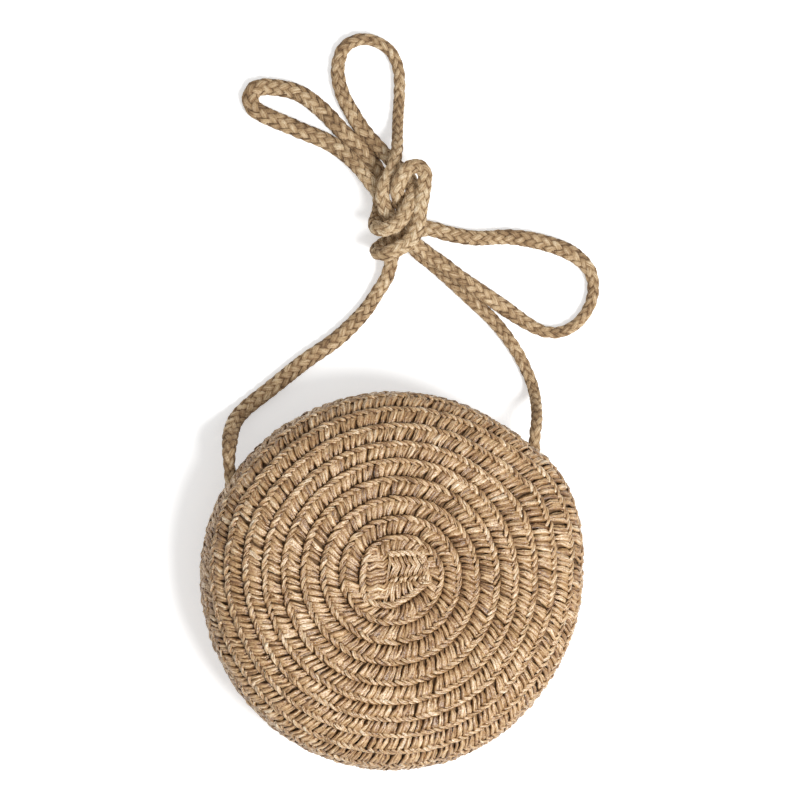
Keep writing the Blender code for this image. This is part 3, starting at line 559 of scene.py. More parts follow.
def braid_strands(line, start):
    """Strand k of a family runs round the line at the angle k sixth turns plus or minus
    its way along the lay. Its place is on an oval as wide as the table says and less high
    where it is wider, plus or minus the weave times the sine of three times that angle.
    start is the length of line before the rope's exit."""
    along = travelled(line)
    level, upright = flat_frames(line)
    wide = np.interp(along - start, ROPE_PLACES, ROPE_WIDTHS) / 2
    tall = np.clip((ROPE_DIAMETER / 2) ** 2 / wide, ROPE_LEAST_HEIGHT / 2, ROPE_DIAMETER / 2)
    half_wide, half_tall = wide[:, None], tall[:, None]
    from_knot = np.linalg.norm(line[:, :2] - KNOT_MIDDLE, axis=1)
    in_knot = np.clip((KNOT_REACH + KNOT_FADE - from_knot) / KNOT_FADE, 0, 1)
    strand = np.arange(STRANDS_EACH_WAY)[:, None]
    tubes, over = [], []
    for way in (1, -1):
        angle = strand * (2 * np.pi / STRANDS_EACH_WAY) + way * 2 * np.pi * along / ROPE_LAY
        weave = way * np.sin(WAVES_PER_TURN * angle + WEAVE_PHASE)
        angle = (angle + 2 * np.pi * along / ROPE_SLOW_TURN)[..., None]
        sunk = (STRAND_THICKNESS + ROPE_WEAVE * (1 - weave))[..., None]
        sideways = np.cos(angle) * level
        upwards = np.sin(angle) * upright
        centre = line + (half_wide - sunk) * sideways + (half_tall - sunk) * upwards
        outward = unit(half_tall * sideways + half_wide * upwards)
        ahead = unit(np.gradient(centre, axis=1))
        beside = unit(np.cross(ahead, outward))
        spread = STRAND_WIDTH * (1.0 + OVER_SPREAD * weave) * wide / (ROPE_DIAMETER / 2)
        tubes.append(oval_rings(
            centre, np.cross(beside, ahead), beside, STRAND_THICKNESS, spread[..., None],
            STRAND_SIDES, np.pi,
        ))
        over.append(weave)
    points = np.concatenate(tubes)
    lengths = along + random.uniform(0, 1, (len(points), 1))
    wander = sum(size * np.sin(lengths / run + phase) for size, run, phase in TONE_WANDER)
    # Painted light: lighter in the knot and where a strand passes over, darker where it dives
    # under.
    tone = ROPE_TONE + KNOT_PAINTED_LIGHT * in_knot + OVER_UNDER_PAINTED_LIGHT * np.concatenate(over) + wander
    tone = tone + random.uniform(-ROPE_TONE_SPREAD, ROPE_TONE_SPREAD, (len(points), 1))
    # Each side of a strand gets its painted highlight or painted shade.
    return points, lengths, np.clip(tone[..., None] + STRAND_PAINTED_LIGHT, 0, 1).astype(np.float32)


def pressed_together(line):
    """The line moved level and square to itself by a table of the length along it: near
    the knot the legs of the loops lie pressed against each other."""
    side = unit(np.cross(unit(np.gradient(line, axis=0)), UP))
    return line + np.interp(travelled(line), PRESSED_PLACES, PRESSED_SHIFTS)[:, None] * side


# %% The rope's line with its two inner ends
left_inner_low, left_inner_high = (np.array(corner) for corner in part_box("strap_end_left"))
INNER_END_Y = left_inner_low[1]
ROPE_PARTING_Y = left_inner_high[1]
inner_count = int((left_exit[1] - INNER_END_Y) / ROPE_RING_STEP)
inner_y = np.linspace(INNER_END_Y, left_exit[1], inner_count, endpoint=False)
left_inner = np.tile(left_exit, (inner_count, 1))
left_inner[:, 1] = inner_y
right_inner = (left_inner * (-1, 1, 1))[::-1]
whole_line = np.vstack((left_inner, pressed_together(strap_line), right_inner))
strands, strand_lengths, strand_tones = braid_strands(whole_line, left_exit[1] - INNER_END_Y)
left_parting = int(np.searchsorted(inner_y, ROPE_PARTING_Y))
right_parting = len(whole_line) - left_parting
print("rings along the rope:", len(whole_line))

# %% Strap and the two ends sewn into the seam
def fit_in(piece, slot, *stands_for, body="bag"):
    """Tells the frame which body carries the piece and which plain CAD nodes it stands in
    for, which are hidden. The finish slot is not used."""
    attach(piece, body)
    if stands_for:
        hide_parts(*stands_for)
    return piece


def rope_piece(name, first, last, body, stands_for):
    """The stretch of the braid between two of its rings, as a piece of its own."""
    cut = (slice(None), slice(first, last))
    piece = add_tubes(name, strands[cut], strand_lengths[cut], rope_finish, strand_tones[cut])
    return fit_in(piece, "rope", stands_for, body=body)


strap = rope_piece("strap_braid", left_parting, right_parting, "strap", "strap_rope")
rope_piece("strap_inner_left", 0, left_parting + 1, "bag", "strap_end_left")
rope_piece("strap_inner_right", right_parting - 1, len(whole_line), "bag", "strap_end_right")
print("rope faces:", len(strap.data.polygons))

# %% [markdown]
# The dish that the braid follows
#
# Each half of the bag has a flat panel and a rounded shoulder that ends at the rim. The
# braid needs to know, for any direction and any distance from the middle measured along
# the skin, where the skin is and which way it faces. The shoulder is a power curve, as in
# the CAD, so its length comes from a table, and the rest is arithmetic on arrays.

# %% Sizes of the dish
PANEL_FLAT = BAG_RADIUS - 42 * mm
SHOULDER_POWER = 2.2
RIM_CLOSED = 0.15 * mm
RIM_PINCH = 3.1 * mm
RIM_MOUTH = 5.0 * mm
MOUTH_ANGLE, PINCH_START, PINCH_END, CLOSED_ANGLE = 45.0, 49.0, 54.0, 60.0
SWELL_START = 50 * mm
SWELL_SMOOTHING = 3.5
FLOOR_GAP = 0.05 * mm
SWELL_DEGREES = (
    0, 20, 38, 43, 48, 52, 57, 62, 68, 75, 83, 92, 100, 120, 135, 150, 180, 215, 250, 275,
    297, 308, 320, 345, 360,
)
SWELL = np.array((
    -2.0, -1.6, -1.0, 0.0, 0.6, 1.6, 3.8, 5.0, 5.1, 4.2, 3.0, 1.0, 0.7, -0.8, -1.2, -0.8, -1.0,
    -1.2, -0.8, 0.3, 0.5, -0.6, -1.3, -2.1, -2.0,
)) * mm
print("flat part of the dish:", round(2 * PANEL_FLAT / mm, 1), "mm across")

# %% Places on the dish
def smooth_step(value):
    """An even ramp from 0 to 1 whose ends are eased: three squares less two cubes."""
    share = np.clip(value, 0.0, 1.0)
    return share * share * (3.0 - 2.0 * share)


def arc_rings(angle, out, high):
    """Places on rings round the bag's axis: out times the sine and cosine of the angle,
    high over the seam."""
    places = (out * np.sin(angle), out * np.cos(angle), SEAM_Z + high)
    return np.stack(np.broadcast_arrays(*places), axis=-1)


def rim_height(heading):
    """Height of the rim over the seam: high at the mouth, lower where the rope passes,
    almost nothing where the two halves are sewn. heading is in radians from the top."""
    degrees = np.degrees(np.arccos(np.cos(heading)))
    narrow = smooth_step((degrees - MOUTH_ANGLE) / (PINCH_START - MOUTH_ANGLE))
    closed = smooth_step((degrees - PINCH_END) / (CLOSED_ANGLE - PINCH_END))
    return np.where(
        degrees < PINCH_START,
        RIM_MOUTH + (RIM_PINCH - RIM_MOUTH) * narrow,
        RIM_PINCH + (RIM_CLOSED - RIM_PINCH) * closed,
    )


def shoulder(turn, rim, radius=BAG_RADIUS, depth=SEAM_Z):
    """Radius and height on the shoulder: sine and cosine of the turn to the power two
    over SHOULDER_POWER, spread over the shoulder's width and height."""
    power = 2.0 / SHOULDER_POWER
    out = PANEL_FLAT + (radius - PANEL_FLAT) * np.sin(turn) ** power
    return out, rim + (depth - rim) * np.maximum(np.cos(turn), 0.0) ** power


def shoulder_table(rim):
    """The turn at which each even share of the shoulder's length is reached."""
    turn = np.linspace(0.0, np.pi / 2, 2001)
    out, high = shoulder(turn, rim)
    length = travelled(np.column_stack((out, high)))
    shares = np.linspace(0.0, 1.0, 401)
    return length[-1], shares, np.interp(shares * length[-1], length, turn)


shoulder_length, even_shares, closed_turns = shoulder_table(RIM_CLOSED)
_, _, mouth_turns = shoulder_table(RIM_MOUTH)
RIM_REACH = PANEL_FLAT + shoulder_length
print("from the middle to the rim along the skin:", round(RIM_REACH / mm, 1), "mm")


def on_dish(heading, reach):
    """Where the skin is, and its direction off it, for a heading from the top and a
    distance from the middle along the skin."""
    rim = rim_height(heading)
    share = np.clip((reach - PANEL_FLAT) / shoulder_length, 0.0, 1.0)
    open_share = (rim - RIM_CLOSED) / (RIM_MOUTH - RIM_CLOSED)
    turn = (1 - open_share) * np.interp(share, even_shares, closed_turns)
    turn = turn + open_share * np.interp(share, even_shares, mouth_turns)
    turn = np.clip(turn, 1e-3, np.pi / 2 - 1e-3)
    out, high = shoulder(turn, rim)
    power = 2.0 / SHOULDER_POWER - 1
    slope_out = (BAG_RADIUS - PANEL_FLAT) * np.sin(turn) ** power * np.cos(turn)
    slope_down = (SEAM_Z - rim) * np.cos(turn) ** power * np.sin(turn)
    length = np.hypot(slope_out, slope_down)
    flat = reach < PANEL_FLAT
    slope_out = np.where(flat, 1.0, slope_out / length)
    slope_down = np.where(flat, 0.0, slope_down / length)
    place = arc_rings(heading, np.where(flat, reach, out), np.where(flat, SEAM_Z, high))
    sine, cosine = np.sin(heading), np.cos(heading)
    return place, np.stack((slope_down * sine, slope_down * cosine, slope_out), axis=-1)


def swollen(points):
    """Points moved in or out from the bag's axis by a table of the heading, smoothed over
    a few degrees, and fading in from the panel to the shoulder. The filled bag is a
    little flatter along its zip and fuller beside the ropes than a true circle."""
    degrees = np.arange(-180, 540)
    table = np.interp(degrees % 360, SWELL_DEGREES, SWELL)
    weights = np.exp(-(np.arange(-9, 10) / SWELL_SMOOTHING) ** 2)
    smooth = np.convolve(table, weights / weights.sum(), mode="same")
    heading = np.degrees(np.arctan2(points[..., 0], points[..., 1])) % 360
    radius = np.hypot(points[..., 0], points[..., 1])
    fade = smooth_step((radius - SWELL_START) / (BAG_RADIUS - SWELL_START))
    grow = 1 + np.interp(heading, degrees, smooth) * fade / np.maximum(radius, mm)
    return points * np.stack((grow, grow, np.ones_like(grow)), axis=-1)


def to_side(points, side):
    """The back half is the front one turned over about the upright axis of the bag. Its
    straws that touch the floor are pressed flat there."""
    if side < 0:
        points = points * (-1, 1, -1) + (0, 0, 2 * SEAM_Z)
        points[..., 2] = np.maximum(points[..., 2], FLOOR_GAP)
    return swollen(points)


# %% [markdown]
# The rows of braid
#
# Real rows are one long braid, laid in a spiral and stitched so that each row covers the
# inner edge of the next one out. In each row a strip leaves its place under the inner
# neighbour and climbs outward and a little clockwise. At the outer edge another one folds
# back over it, and these folds are the row's corded edge. A picture could fake this, but
# the light in the gaps gives it away, so each strip is a small closed tube of its own.

# %% Where the rows run
ROW_STEP = 8.67 * mm
FIRST_ROW_REACH = 4.1 * mm
STRIP_STEP = 2.85 * mm
PANEL_RELIEF = 3.0 * mm
SIDE_RELIEF = 2.1 * mm
RELIEF_RUN = 25 * mm
SPIRAL_START_TURNS = 1.9
SPIRAL_END_TURNS = (RIM_REACH - FIRST_ROW_REACH) / ROW_STEP
WANDER_REACH = np.array((0, 25, 38, 50, 63, 75, 85, 91, 103)) * mm
WANDER_EVEN = np.array((-2.05, -2.05, -1.9, -0.93, -0.68, -0.19, 1.05, 1.36, 0.0)) * mm
WANDER_UP = np.array((2.4, 2.4, 2.35, 1.8, 2.0, 3.33, 4.05, 4.02, 0.0)) * mm
WANDER_RIGHT = np.array((-1.6, -1.6, -2.1, -1.95, -1.95, -1.4, -0.85, -0.57, 0.0)) * mm
WANDER_OVAL = np.array((-0.65, -0.65, -0.3, -0.28, -0.23, -0.29, -0.5, 0.33, 0.0)) * mm


def row_edge(turns):
    """Distance from the middle to the outer edge of the row, after so many turns: the
    row step for each turn, and a hand-sewn row's wander, which is a sum of cosines and a
    sine of the heading whose sizes change slowly from the middle to the rim."""
    heading = 2 * np.pi * turns
    reach = FIRST_ROW_REACH + ROW_STEP * turns
    return (
        reach
        + np.interp(reach, WANDER_REACH, WANDER_EVEN)
        + np.interp(reach, WANDER_REACH, WANDER_UP) * np.cos(heading)
        + np.interp(reach, WANDER_REACH, WANDER_RIGHT) * np.sin(heading)
        + np.interp(reach, WANDER_REACH, WANDER_OVAL) * np.cos(2 * heading)
    )


def row_width(turns):
    """How wide the row is: from its edge back to its inner neighbour's, one turn before."""
    return row_edge(turns) - row_edge(turns - 1)


def relief(reach):
    """How deep under the skin the braid's ground lies: deeper on the flat panel, so that
    the rows rest on the floor and don't sink into it, than on the side."""
    on_side = smooth_step((reach - PANEL_FLAT) / RELIEF_RUN)
    return PANEL_RELIEF + (SIDE_RELIEF - PANEL_RELIEF) * on_side


def strips_along_spiral():
    """Headings, as turns, of strips an even step apart along the middle of the row: the
    row's length is the running sum of its radius times the change of heading."""
    turns = np.linspace(SPIRAL_START_TURNS, SPIRAL_END_TURNS, 20001)
    place, _ = on_dish(2 * np.pi * turns, row_edge(turns) - ROW_STEP / 2)
    length = travelled(place)
    return np.interp(np.arange(0.0, length[-1], STRIP_STEP), length, turns)


strip_turns = strips_along_spiral()
print("strips in one half's spiral:", len(strip_turns))

# %% [markdown]
# One strip
#
# A strip shows twice: as a leaf-shaped arm across the row, and as a fold on the row's
# edge that dives under its neighbour. Each is a few rings. For each ring a short table
# says how far across the row it lies, how far it has slid along the row, how high it
# rides, and how wide and thick it is. The section is plump with a crease that comes and
# goes, because the strips are paper ribbon crumpled lengthways, and each strip scatters
# its section in its own way.

# %% Tables of an arm and a fold
# In both tables tone is painted shade where a strip goes under its neighbour, at an arm's foot and
# a fold's end, with a little painted highlight on the top rings; shade scales the section's
# painted highlight and painted shade ring by ring.
ARMS = SimpleNamespace(
    across=np.array((1.14, 0.97, 0.72, 0.44, 0.2)),
    along=np.array((-1.9, -1.75, -1.15, -0.1, 0.95)) * mm,
    bends=np.array((0.0, 0.5, 1.0, 0.6, 0.0)) * mm,
    height=np.array((-0.1, 0.7, 1.4, 1.7, 1.4)) * mm,
    width=np.array((1.1, 2.1, 3.2, 3.6, 3.0)) * mm,
    thick=np.array((0.8, 1.2, 1.45, 1.35, 1.0)) * mm,
    tone=np.array((-0.6, -0.3, 0.04, 0.07, -0.04)),
    shade=np.array((1.25, 1.15, 0.9, 0.6, 0.5)),
    crease=0.45, lean=math.radians(13), paired=0.4,
)
FOLDS = SimpleNamespace(
    across=np.array((0.33, 0.275, 0.17, 0.09, 0.05)),
    along=np.array((1.5, 0.9, -0.4, -2.0, -3.9)) * mm,
    bends=np.array((0.0, 0.15, 0.3, 0.15, 0.0)) * mm,
    height=np.array((1.3, 1.9, 2.05, 1.85, 1.35)) * mm,
    width=np.array((1.3, 2.1, 2.3, 2.1, 1.5)) * mm,
    thick=np.array((0.7, 1.15, 1.15, 1.05, 0.8)) * mm,
    tone=np.array((0.08, 0.1, 0.02, -0.06, -0.2)),
    shade=np.ones(5),
    crease=0.35, lean=math.radians(-6), paired=1.0,
)
MIDDLE_TONE = 0.15
MIDDLE_REACH = 62 * mm
PAIR_SHIFT = 0.12 * mm
PAIR_RISE = 0.2 * mm
SECTION = np.array((
    (-1.0, -0.4), (-0.78, 0.35), (-0.48, 0.95), (-0.08, 0.95), (0.34, 1.1), (0.7, 0.5),
    (1.0, -0.3), (0.5, -0.6), (-0.5, -0.6),
))
# Painted light across the section: a painted highlight on the ridges, painted shade at the edges
# and underneath.
SECTION_PAINTED_LIGHT = np.array((-0.34, -0.1, 0.3, 0.24, 0.42, -0.02, -0.3, -0.45, -0.45))
SECTION_SCATTER = (0.14, 0.6)
CREASE_POINT = 3
CREASE_DEPTH = 0.95
# Painted shade in the crease, as deep as the crease is pressed.
CREASE_PAINTED_SHADE = 0.42
CREASE_SHARE = 0.85
STRIP_CREASE_SCATTER, RING_CREASE_SCATTER, CREASE_LIMIT = 0.35, 0.75, 1.4
STRIP_TONE, STRIP_TONE_SPREAD = 0.46, 0.11
SHIFT_SCATTER = 0.25 * mm
BEND_SCATTER = 0.7
RING_SLIDE_SCATTER = 0.3 * mm
ACROSS_SCATTER = 0.03
SLIDE_SPREAD, WIDTH_SPREAD, THICK_SPREAD = 0.2, 0.2, 0.15
LEAST_RADIUS = 8 * mm
LEAST_REACH = 0.5 * mm
LIFT_SCATTER = 0.2 * mm
STRIP_LEAN_SCATTER, RING_LEAN_SCATTER = math.radians(17), math.radians(12)
print("rings of an arm and of a fold:", len(ARMS.across), len(FOLDS.across))

# %% Ribbons
def scatter(shape, amount):
    """Even random numbers between minus and plus the amount."""
    return random.uniform(-amount, amount, shape)


def ribbons(centres, normals, widths, thicks, leans, crease, ring_tone, shade=1.0):
    """Flat closed tubes along centre lines. At each ring the section's points are set
    out sideways by half the width and off the skin by half the thickness, after a turn
    by the lean. The crease pushes the section's middle down. Tone is lightest on the
    ridges, a painted highlight, and dark in the crease, at the edges and underneath,
    which is painted shade; shade scales that painted light ring by ring."""
    count = len(centres)
    ahead = unit(np.gradient(centres, axis=1))
    sideways = unit(np.cross(ahead, normals))
    above = np.cross(sideways, ahead)
    own = SECTION + scatter((*widths.shape, len(SECTION), 2), 1.0) * SECTION_SCATTER
    own_crease = CREASE_SHARE * crease + scatter((count, 1), STRIP_CREASE_SCATTER)
    own_crease = own_crease + scatter(widths.shape, RING_CREASE_SCATTER)
    own_crease = np.clip(own_crease, 0.0, CREASE_LIMIT)
    own[:, :, CREASE_POINT, 1] -= CREASE_DEPTH * own_crease
    flat = own[..., 0] * widths[..., None] / 2
    high = own[..., 1] * thicks[..., None] / 2
    cosine, sine = np.cos(leans)[..., None], np.sin(leans)[..., None]
    points = (
        centres[:, :, None]
        + (flat * cosine - high * sine)[..., None] * sideways[:, :, None]
        + (flat * sine + high * cosine)[..., None] * above[:, :, None]
    )
    steps = np.linalg.norm(np.diff(centres, axis=1), axis=2)
    along = np.concatenate((np.zeros((count, 1)), np.cumsum(steps, axis=1)), axis=1)
    tone = STRIP_TONE + STRIP_TONE_SPREAD * random.standard_normal((count, 1, 1))
    # The section's painted highlight and painted shade, scaled ring by ring.
    tone = tone + SECTION_PAINTED_LIGHT * np.reshape(shade, (1, -1, 1))
    tone = tone + np.broadcast_to(ring_tone, widths.shape)[..., None]
    # Painted shade darkens the crease point.
    tone[..., CREASE_POINT] -= CREASE_PAINTED_SHADE * own_crease
    along = along + random.uniform(0, 3, (count, 1))
    return points, along, np.clip(tone, 0, 1).astype(np.float32)


def add_ribbons(name, groups, side):
    """One piece from several groups of ribbons that have different numbers of rings."""
    parts = [tube_arrays(to_side(points, side), along, tone) for points, along, tone in groups]
    return fit_in(join_tubes(name, parts, straw_finish), "straw_braid")


# %% Strips of one row
def shaped(count, table, spread):
    """A table's row for each of count strips, each one's values scaled by its own amount."""
    return table * (1 + scatter((count, 1), spread))


def sides_of_pairs(count):
    """Plus and minus one by turns, since neighbouring strips lie in pairs."""
    return 1 - 2 * (np.arange(count) % 2)[:, None]


def row_strips(turns, edge_reach, width_there, lift_share=1.0):
    """Arms and folds at these turns, in a row whose outer edge and width are functions of
    them. A place along the row is turned into a heading by dividing it by the radius."""
    count = len(turns)
    pair_side = sides_of_pairs(count)
    radius = np.clip(edge_reach(turns) - ROW_STEP / 2, LEAST_RADIUS, BAG_RADIUS)[:, None]
    shift = scatter((count, 1), SHIFT_SCATTER)
    groups = []
    for kind in (ARMS, FOLDS):
        rings = (count, len(kind.across))
        slide = shaped(count, kind.along, SLIDE_SPREAD) + shift
        slide = slide + kind.paired * PAIR_SHIFT * pair_side
        slide = slide + kind.bends * scatter((count, 1), BEND_SCATTER)
        slide = slide + scatter(rings, RING_SLIDE_SCATTER)
        own_turns = turns[:, None] + slide / radius / (2 * np.pi)
        across = kind.across + scatter((count, 1), ACROSS_SCATTER)
        reach = edge_reach(own_turns) - across * width_there(own_turns)
        reach = np.clip(reach, LEAST_REACH, RIM_REACH)
        place, off = on_dish(2 * np.pi * own_turns, reach)
        lift = kind.height * lift_share + scatter((count, 1), LIFT_SCATTER)
        lift = lift - kind.paired * PAIR_RISE * pair_side
        centres = place - off * (relief(reach) - lift)[..., None]
        leans = kind.lean + scatter((count, 1), STRIP_LEAN_SCATTER)
        leans = leans + scatter(rings, RING_LEAN_SCATTER)
        # Darker towards the middle of the panel, fading out by MIDDLE_REACH.
        middle_darkening = MIDDLE_TONE * (1 - smooth_step(reach / MIDDLE_REACH))
        widths = shaped(count, kind.width, WIDTH_SPREAD)
        thicks = shaped(count, kind.thick, THICK_SPREAD)
        groups.append(ribbons(
            centres, off, widths, thicks, leans, kind.crease, kind.tone - middle_darkening, kind.shade,
        ))
    return groups


# %% Rows of both halves
def both_halves(make):
    """The same piece or pieces made for the front half and for the back half."""
    return [make(side, label) for side, label in ((1, "front"), (-1, "back"))]


PANEL_ROWS_REACH = PANEL_FLAT + 10 * mm
RIM_LIFT_SHARE = 0.75
TUCKED_LIFT_SHARE = 0.3
TUCK_START = RIM_REACH - 6 * mm
TUCK_RUN = 2.5 * mm


def make_rows(side, label):
    """The spiral in two pieces, panel and side, and the closed row sewn round the rim.
    Where the spiral runs out it is pressed down, so that it ends under the rim's row."""
    on_panel = row_edge(strip_turns) < PANEL_ROWS_REACH
    rim_count = 2 * int(np.pi * BAG_RADIUS / STRIP_STEP)
    rim_turns = np.arange(rim_count) / rim_count
    side_turns = strip_turns[~on_panel]
    tucked = smooth_step((row_edge(side_turns) - TUCK_START) / TUCK_RUN)[:, None]
    side_lift = 1 - (1 - TUCKED_LIFT_SHARE) * tucked
    groups = {
        "straw_panel_": row_strips(strip_turns[on_panel], row_edge, row_width),
        "straw_side_": row_strips(side_turns, row_edge, row_width, side_lift),
        "straw_rim_": row_strips(
            rim_turns, lambda turns: RIM_REACH + 0 * turns, lambda turns: ROW_STEP + 0 * turns,
            RIM_LIFT_SHARE,
        ),
    }
    return [add_ribbons(name + label, strips, side) for name, strips in groups.items()]


rows = both_halves(make_rows)
print("faces in the front rows:", [len(piece.data.polygons) for piece in rows[0]])

# %% [markdown]
# The start of the spiral
#
# A braid can't turn on the spot, so its first few centimetres are folded by hand: a short
# straight length, then one more along its foot and up its left side, before the rows can
# run round it. These strips lie where the hands put them, so they come from short lists
# of places in millimetres instead of a formula.

# %% Folded start patch
START_EDGE = np.array((
    (-4.5, 13.6, 0), (1, 13.7, 0), (7, 13.2, 0), (12.4, 12.2, 0), (13.2, 7, 0), (13.8, 2, 0),
    (14.6, -2.4, 0), (10, -5.6, 0), (5, -8.8, 0), (0, -11.2, 0), (-4.6, -12.9, 0),
    (-9.5, -12.4, 0), (-14.5, -11, 0), (-18.4, -8.6, 0), (-19.4, -4, 0), (-19.2, 0.5, 0),
    (-18.6, 5, 0), (-17.4, 9.6, 0), (-14.8, 14.2, 0), (-10.5, 17.6, 0),
)) * mm
TOP_ARMS = 8
LEFT_ARMS = 6
FOOT_ARMS = 10
# Painted shade at both ends of a patch strip, where it tucks under others.
PATCH_END_PAINTED_SHADE = (-0.22, -0.04, 0.04, -0.04, -0.22)
PATCH_CREASE = 0.9
PATCH_TAPER = np.array((0.7, 0.95, 1.0, 0.95, 0.7)) * mm
PATCH_SPREAD = 0.12
PATCH_BEND_SCATTER = 0.4
PATCH_LIFT_SCATTER, FOLD_LIFT_SCATTER = 0.12 * mm, 0.1 * mm
PATCH_LEAN_SCATTER, FOLD_LEAN_SCATTER = math.radians(12), math.radians(10)
PATCH_GROUND = 2 * SEAM_Z - PANEL_RELIEF
print("height of the patch's ground:", round(PATCH_GROUND / mm, 1), "mm")

# %% Strips of the start patch
def bent_lines(from_x, from_y, to_x, to_y, bends, heights):
    """Lines of five places from one point to another, pushed aside by bends at each
    place, at the heights over the ground, all in millimetres. The push is square to the
    line. Each of the first four may be a number or one for each line."""
    places = np.column_stack(np.broadcast_arrays(from_x, from_y, to_x, to_y))
    starts, ends = places[:, None, :2], places[:, None, 2:]
    share = np.linspace(0, 1, 5)[:, None]
    ahead = unit(ends - starts)
    sideways = ahead[..., ::-1] * (1, -1)
    count = len(places)
    own_bends = bends + scatter((count, 5), PATCH_BEND_SCATTER) * (0, 1, 1, 1, 0)
    flat = starts * (1 - share) + ends * share + sideways * own_bends[..., None]
    high = PATCH_GROUND + np.multiply(heights, mm) + scatter((count, 1), PATCH_LIFT_SCATTER)
    return np.concatenate((flat * mm, high[..., None]), axis=-1)


def patch_ribbons(lines, width, thick):
    """Ribbons on the flat panel, tapered towards both ends, sizes in millimetres."""
    count = len(lines)
    widths, thicks = (
        shaped(count, PATCH_TAPER * size, PATCH_SPREAD) for size in (width, thick)
    )
    leans = scatter((count, 5), PATCH_LEAN_SCATTER)
    # The ring tones are painted shade at the strips' ends.
    return ribbons(lines, UP, widths, thicks, leans, PATCH_CREASE, PATCH_END_PAINTED_SHADE)


def patch_folds():
    """Folds along the patch's own edge: the same fold table as the rows', laid out by
    the edge's direction and its outward side."""
    edge = evenly(smooth_curve(START_EDGE, 8), 0.3 * mm)
    along = travelled(edge)

    def on_edge(places):
        """Level places at these lengths along the edge."""
        return np.stack([np.interp(places, along, edge[:, axis]) for axis in (0, 1)], axis=-1)

    starts = np.arange(1 * mm, along[-1] - 1 * mm, STRIP_STEP * 0.9)
    run = unit(on_edge(starts + 1 * mm) - on_edge(starts - 1 * mm))
    inward = (run[:, ::-1] * (1, -1))[:, None]
    count = len(starts)
    flat = on_edge(starts[:, None] + FOLDS.along) + (FOLDS.across * ROW_STEP)[:, None] * inward
    high = PATCH_GROUND + FOLDS.height - PAIR_RISE * sides_of_pairs(count)
    high = high + scatter((count, 1), FOLD_LIFT_SCATTER)
    lines = np.concatenate((flat, high[..., None]), axis=-1)
    widths, thicks = (shaped(count, size, PATCH_SPREAD) for size in (FOLDS.width, FOLDS.thick))
    leans = scatter((count, len(FOLDS.across)), FOLD_LEAN_SCATTER)
    return ribbons(lines, UP, widths, thicks, leans, FOLDS.crease, FOLDS.tone)


def make_patch(side, label):
    """Straight arms under the top edge with tails at their foot, level arms at the left,
    fanned arms at the foot, and one strip each along the right and the middle edge."""
    x = np.linspace(-3.6, 11.8, TOP_ARMS) + scatter(TOP_ARMS, 0.2)
    y = np.linspace(10.8, -6.8, LEFT_ARMS)
    share = np.linspace(0, 1, FOOT_ARMS)
    foot_from = np.interp(share, (0, 0.5, 1), (-9.0, -1.5, 8.0))
    foot_x = np.interp(share, (0, 0.45, 1), (-16.5, -5.0, 12.6))
    foot_y = np.interp(share, (0, 0.45, 1), (-8.0, -11.2, -3.0))
    top = bent_lines(
        x - 0.4, 11.6, x - 0.6, 0.6, (0, -0.5, -2.0, -0.5, 0.6), (1.5, 1.75, 1.6, 1.7, 1.0)
    )
    tails = bent_lines(
        x - 1.6, -1.4, x + 0.6, 1.4, (0, 0, 0, 0, 0), (0.9, 1.5, 1.8, 1.7, 1.2)
    )
    left = bent_lines(
        -17.2, y + 1.2, -5.0, y + 2.0, (0.3, 1.9, 1.2, 1.9, 0), (1.2, 1.7, 1.7, 1.8, 1.1)
    )
    foot = bent_lines(
        foot_from, -0.4, foot_x, foot_y, (0, 0.4, 0.6, 0.4, 0), (0.6, 1.1, 1.5, 1.5, 1.2)
    )
    right = bent_lines(
        12.2, 11.6, 13.6, -1.8, (0, 0.3, 0.2, 0.1, 0), (1.6, 1.8, 1.8, 1.8, 1.5)
    )
    middle = bent_lines(
        -4.4, 13.0, -6.4, -1.6, (0, -0.3, -0.4, -0.2, 0), (1.3, 1.9, 2.0, 1.9, 1.4)
    )
    sizes = (
        (foot, 3.1, 1.3), (tails, 2.0, 0.9), (top, 2.5, 1.2), (left, 4.0, 1.4), (right, 1.6, 1.1),
        (middle, 1.5, 1.0),
    )
    groups = [patch_ribbons(*size) for size in sizes] + [patch_folds()]
    return add_ribbons("straw_start_" + label, groups, side)


patches = both_halves(make_patch)
print("faces in a start patch:", len(patches[0].data.polygons))

# %% [markdown]
# The ground under the braid
#
# Between the strips the eye meets the rows' undersides, not daylight. A plain closed dish
# a little below the strips stands for them, and its inside is the inside of the bag. Its
# dark brown is painted shade: the undersides are straw, seen in shade.

# %% Ground dishes
GROUND_WALL = 0.45 * mm
GROUND_RIM_RISE = 1.0 * mm
GROUND_RISE_RUN = 8 * mm
GROUND_STEPS, GROUND_ROWS = 180, 40


def add_turned(name, points, uv, surface):
    """A closed turned surface: points[row, step] go round once, and the first and last
    rows are closed by fans to their middles."""
    rows, steps, _ = points.shape
    step = np.arange(steps)
    after = (step + 1) % steps
    row = (np.arange(rows - 1) * steps)[:, None]
    next_row = row + steps
    quads = np.stack((row + step, row + after, next_row + after, next_row + step), axis=-1)
    quads = quads.reshape(-1, 4)
    uv = np.concatenate((uv, uv[:, :1] + (1.0, 0.0)), axis=1)
    quad_uv = np.stack((uv[:-1, :-1], uv[:-1, 1:], uv[1:, 1:], uv[1:, :-1]), axis=2)
    quad_uv = quad_uv.reshape(-1, 4, 2)
    first_pole, last = rows * steps, (rows - 1) * steps
    head = np.stack((np.full(steps, first_pole), after, step), axis=-1)
    tail = np.stack((np.full(steps, first_pole + 1), last + step, last + after), axis=-1)
    fans = np.concatenate((head, tail))
    points = np.vstack((points.reshape(-1, 3), points[0].mean(axis=0), points[-1].mean(axis=0)))
    if not turned_outwards(points, quads):
        quads, quad_uv, fans = (array[:, ::-1] for array in (quads, quad_uv, fans))
    fan_uv = np.zeros((len(fans), 3, 2))
    return mesh_piece(name, points, (quads, fans), (quad_uv, fan_uv), surface)


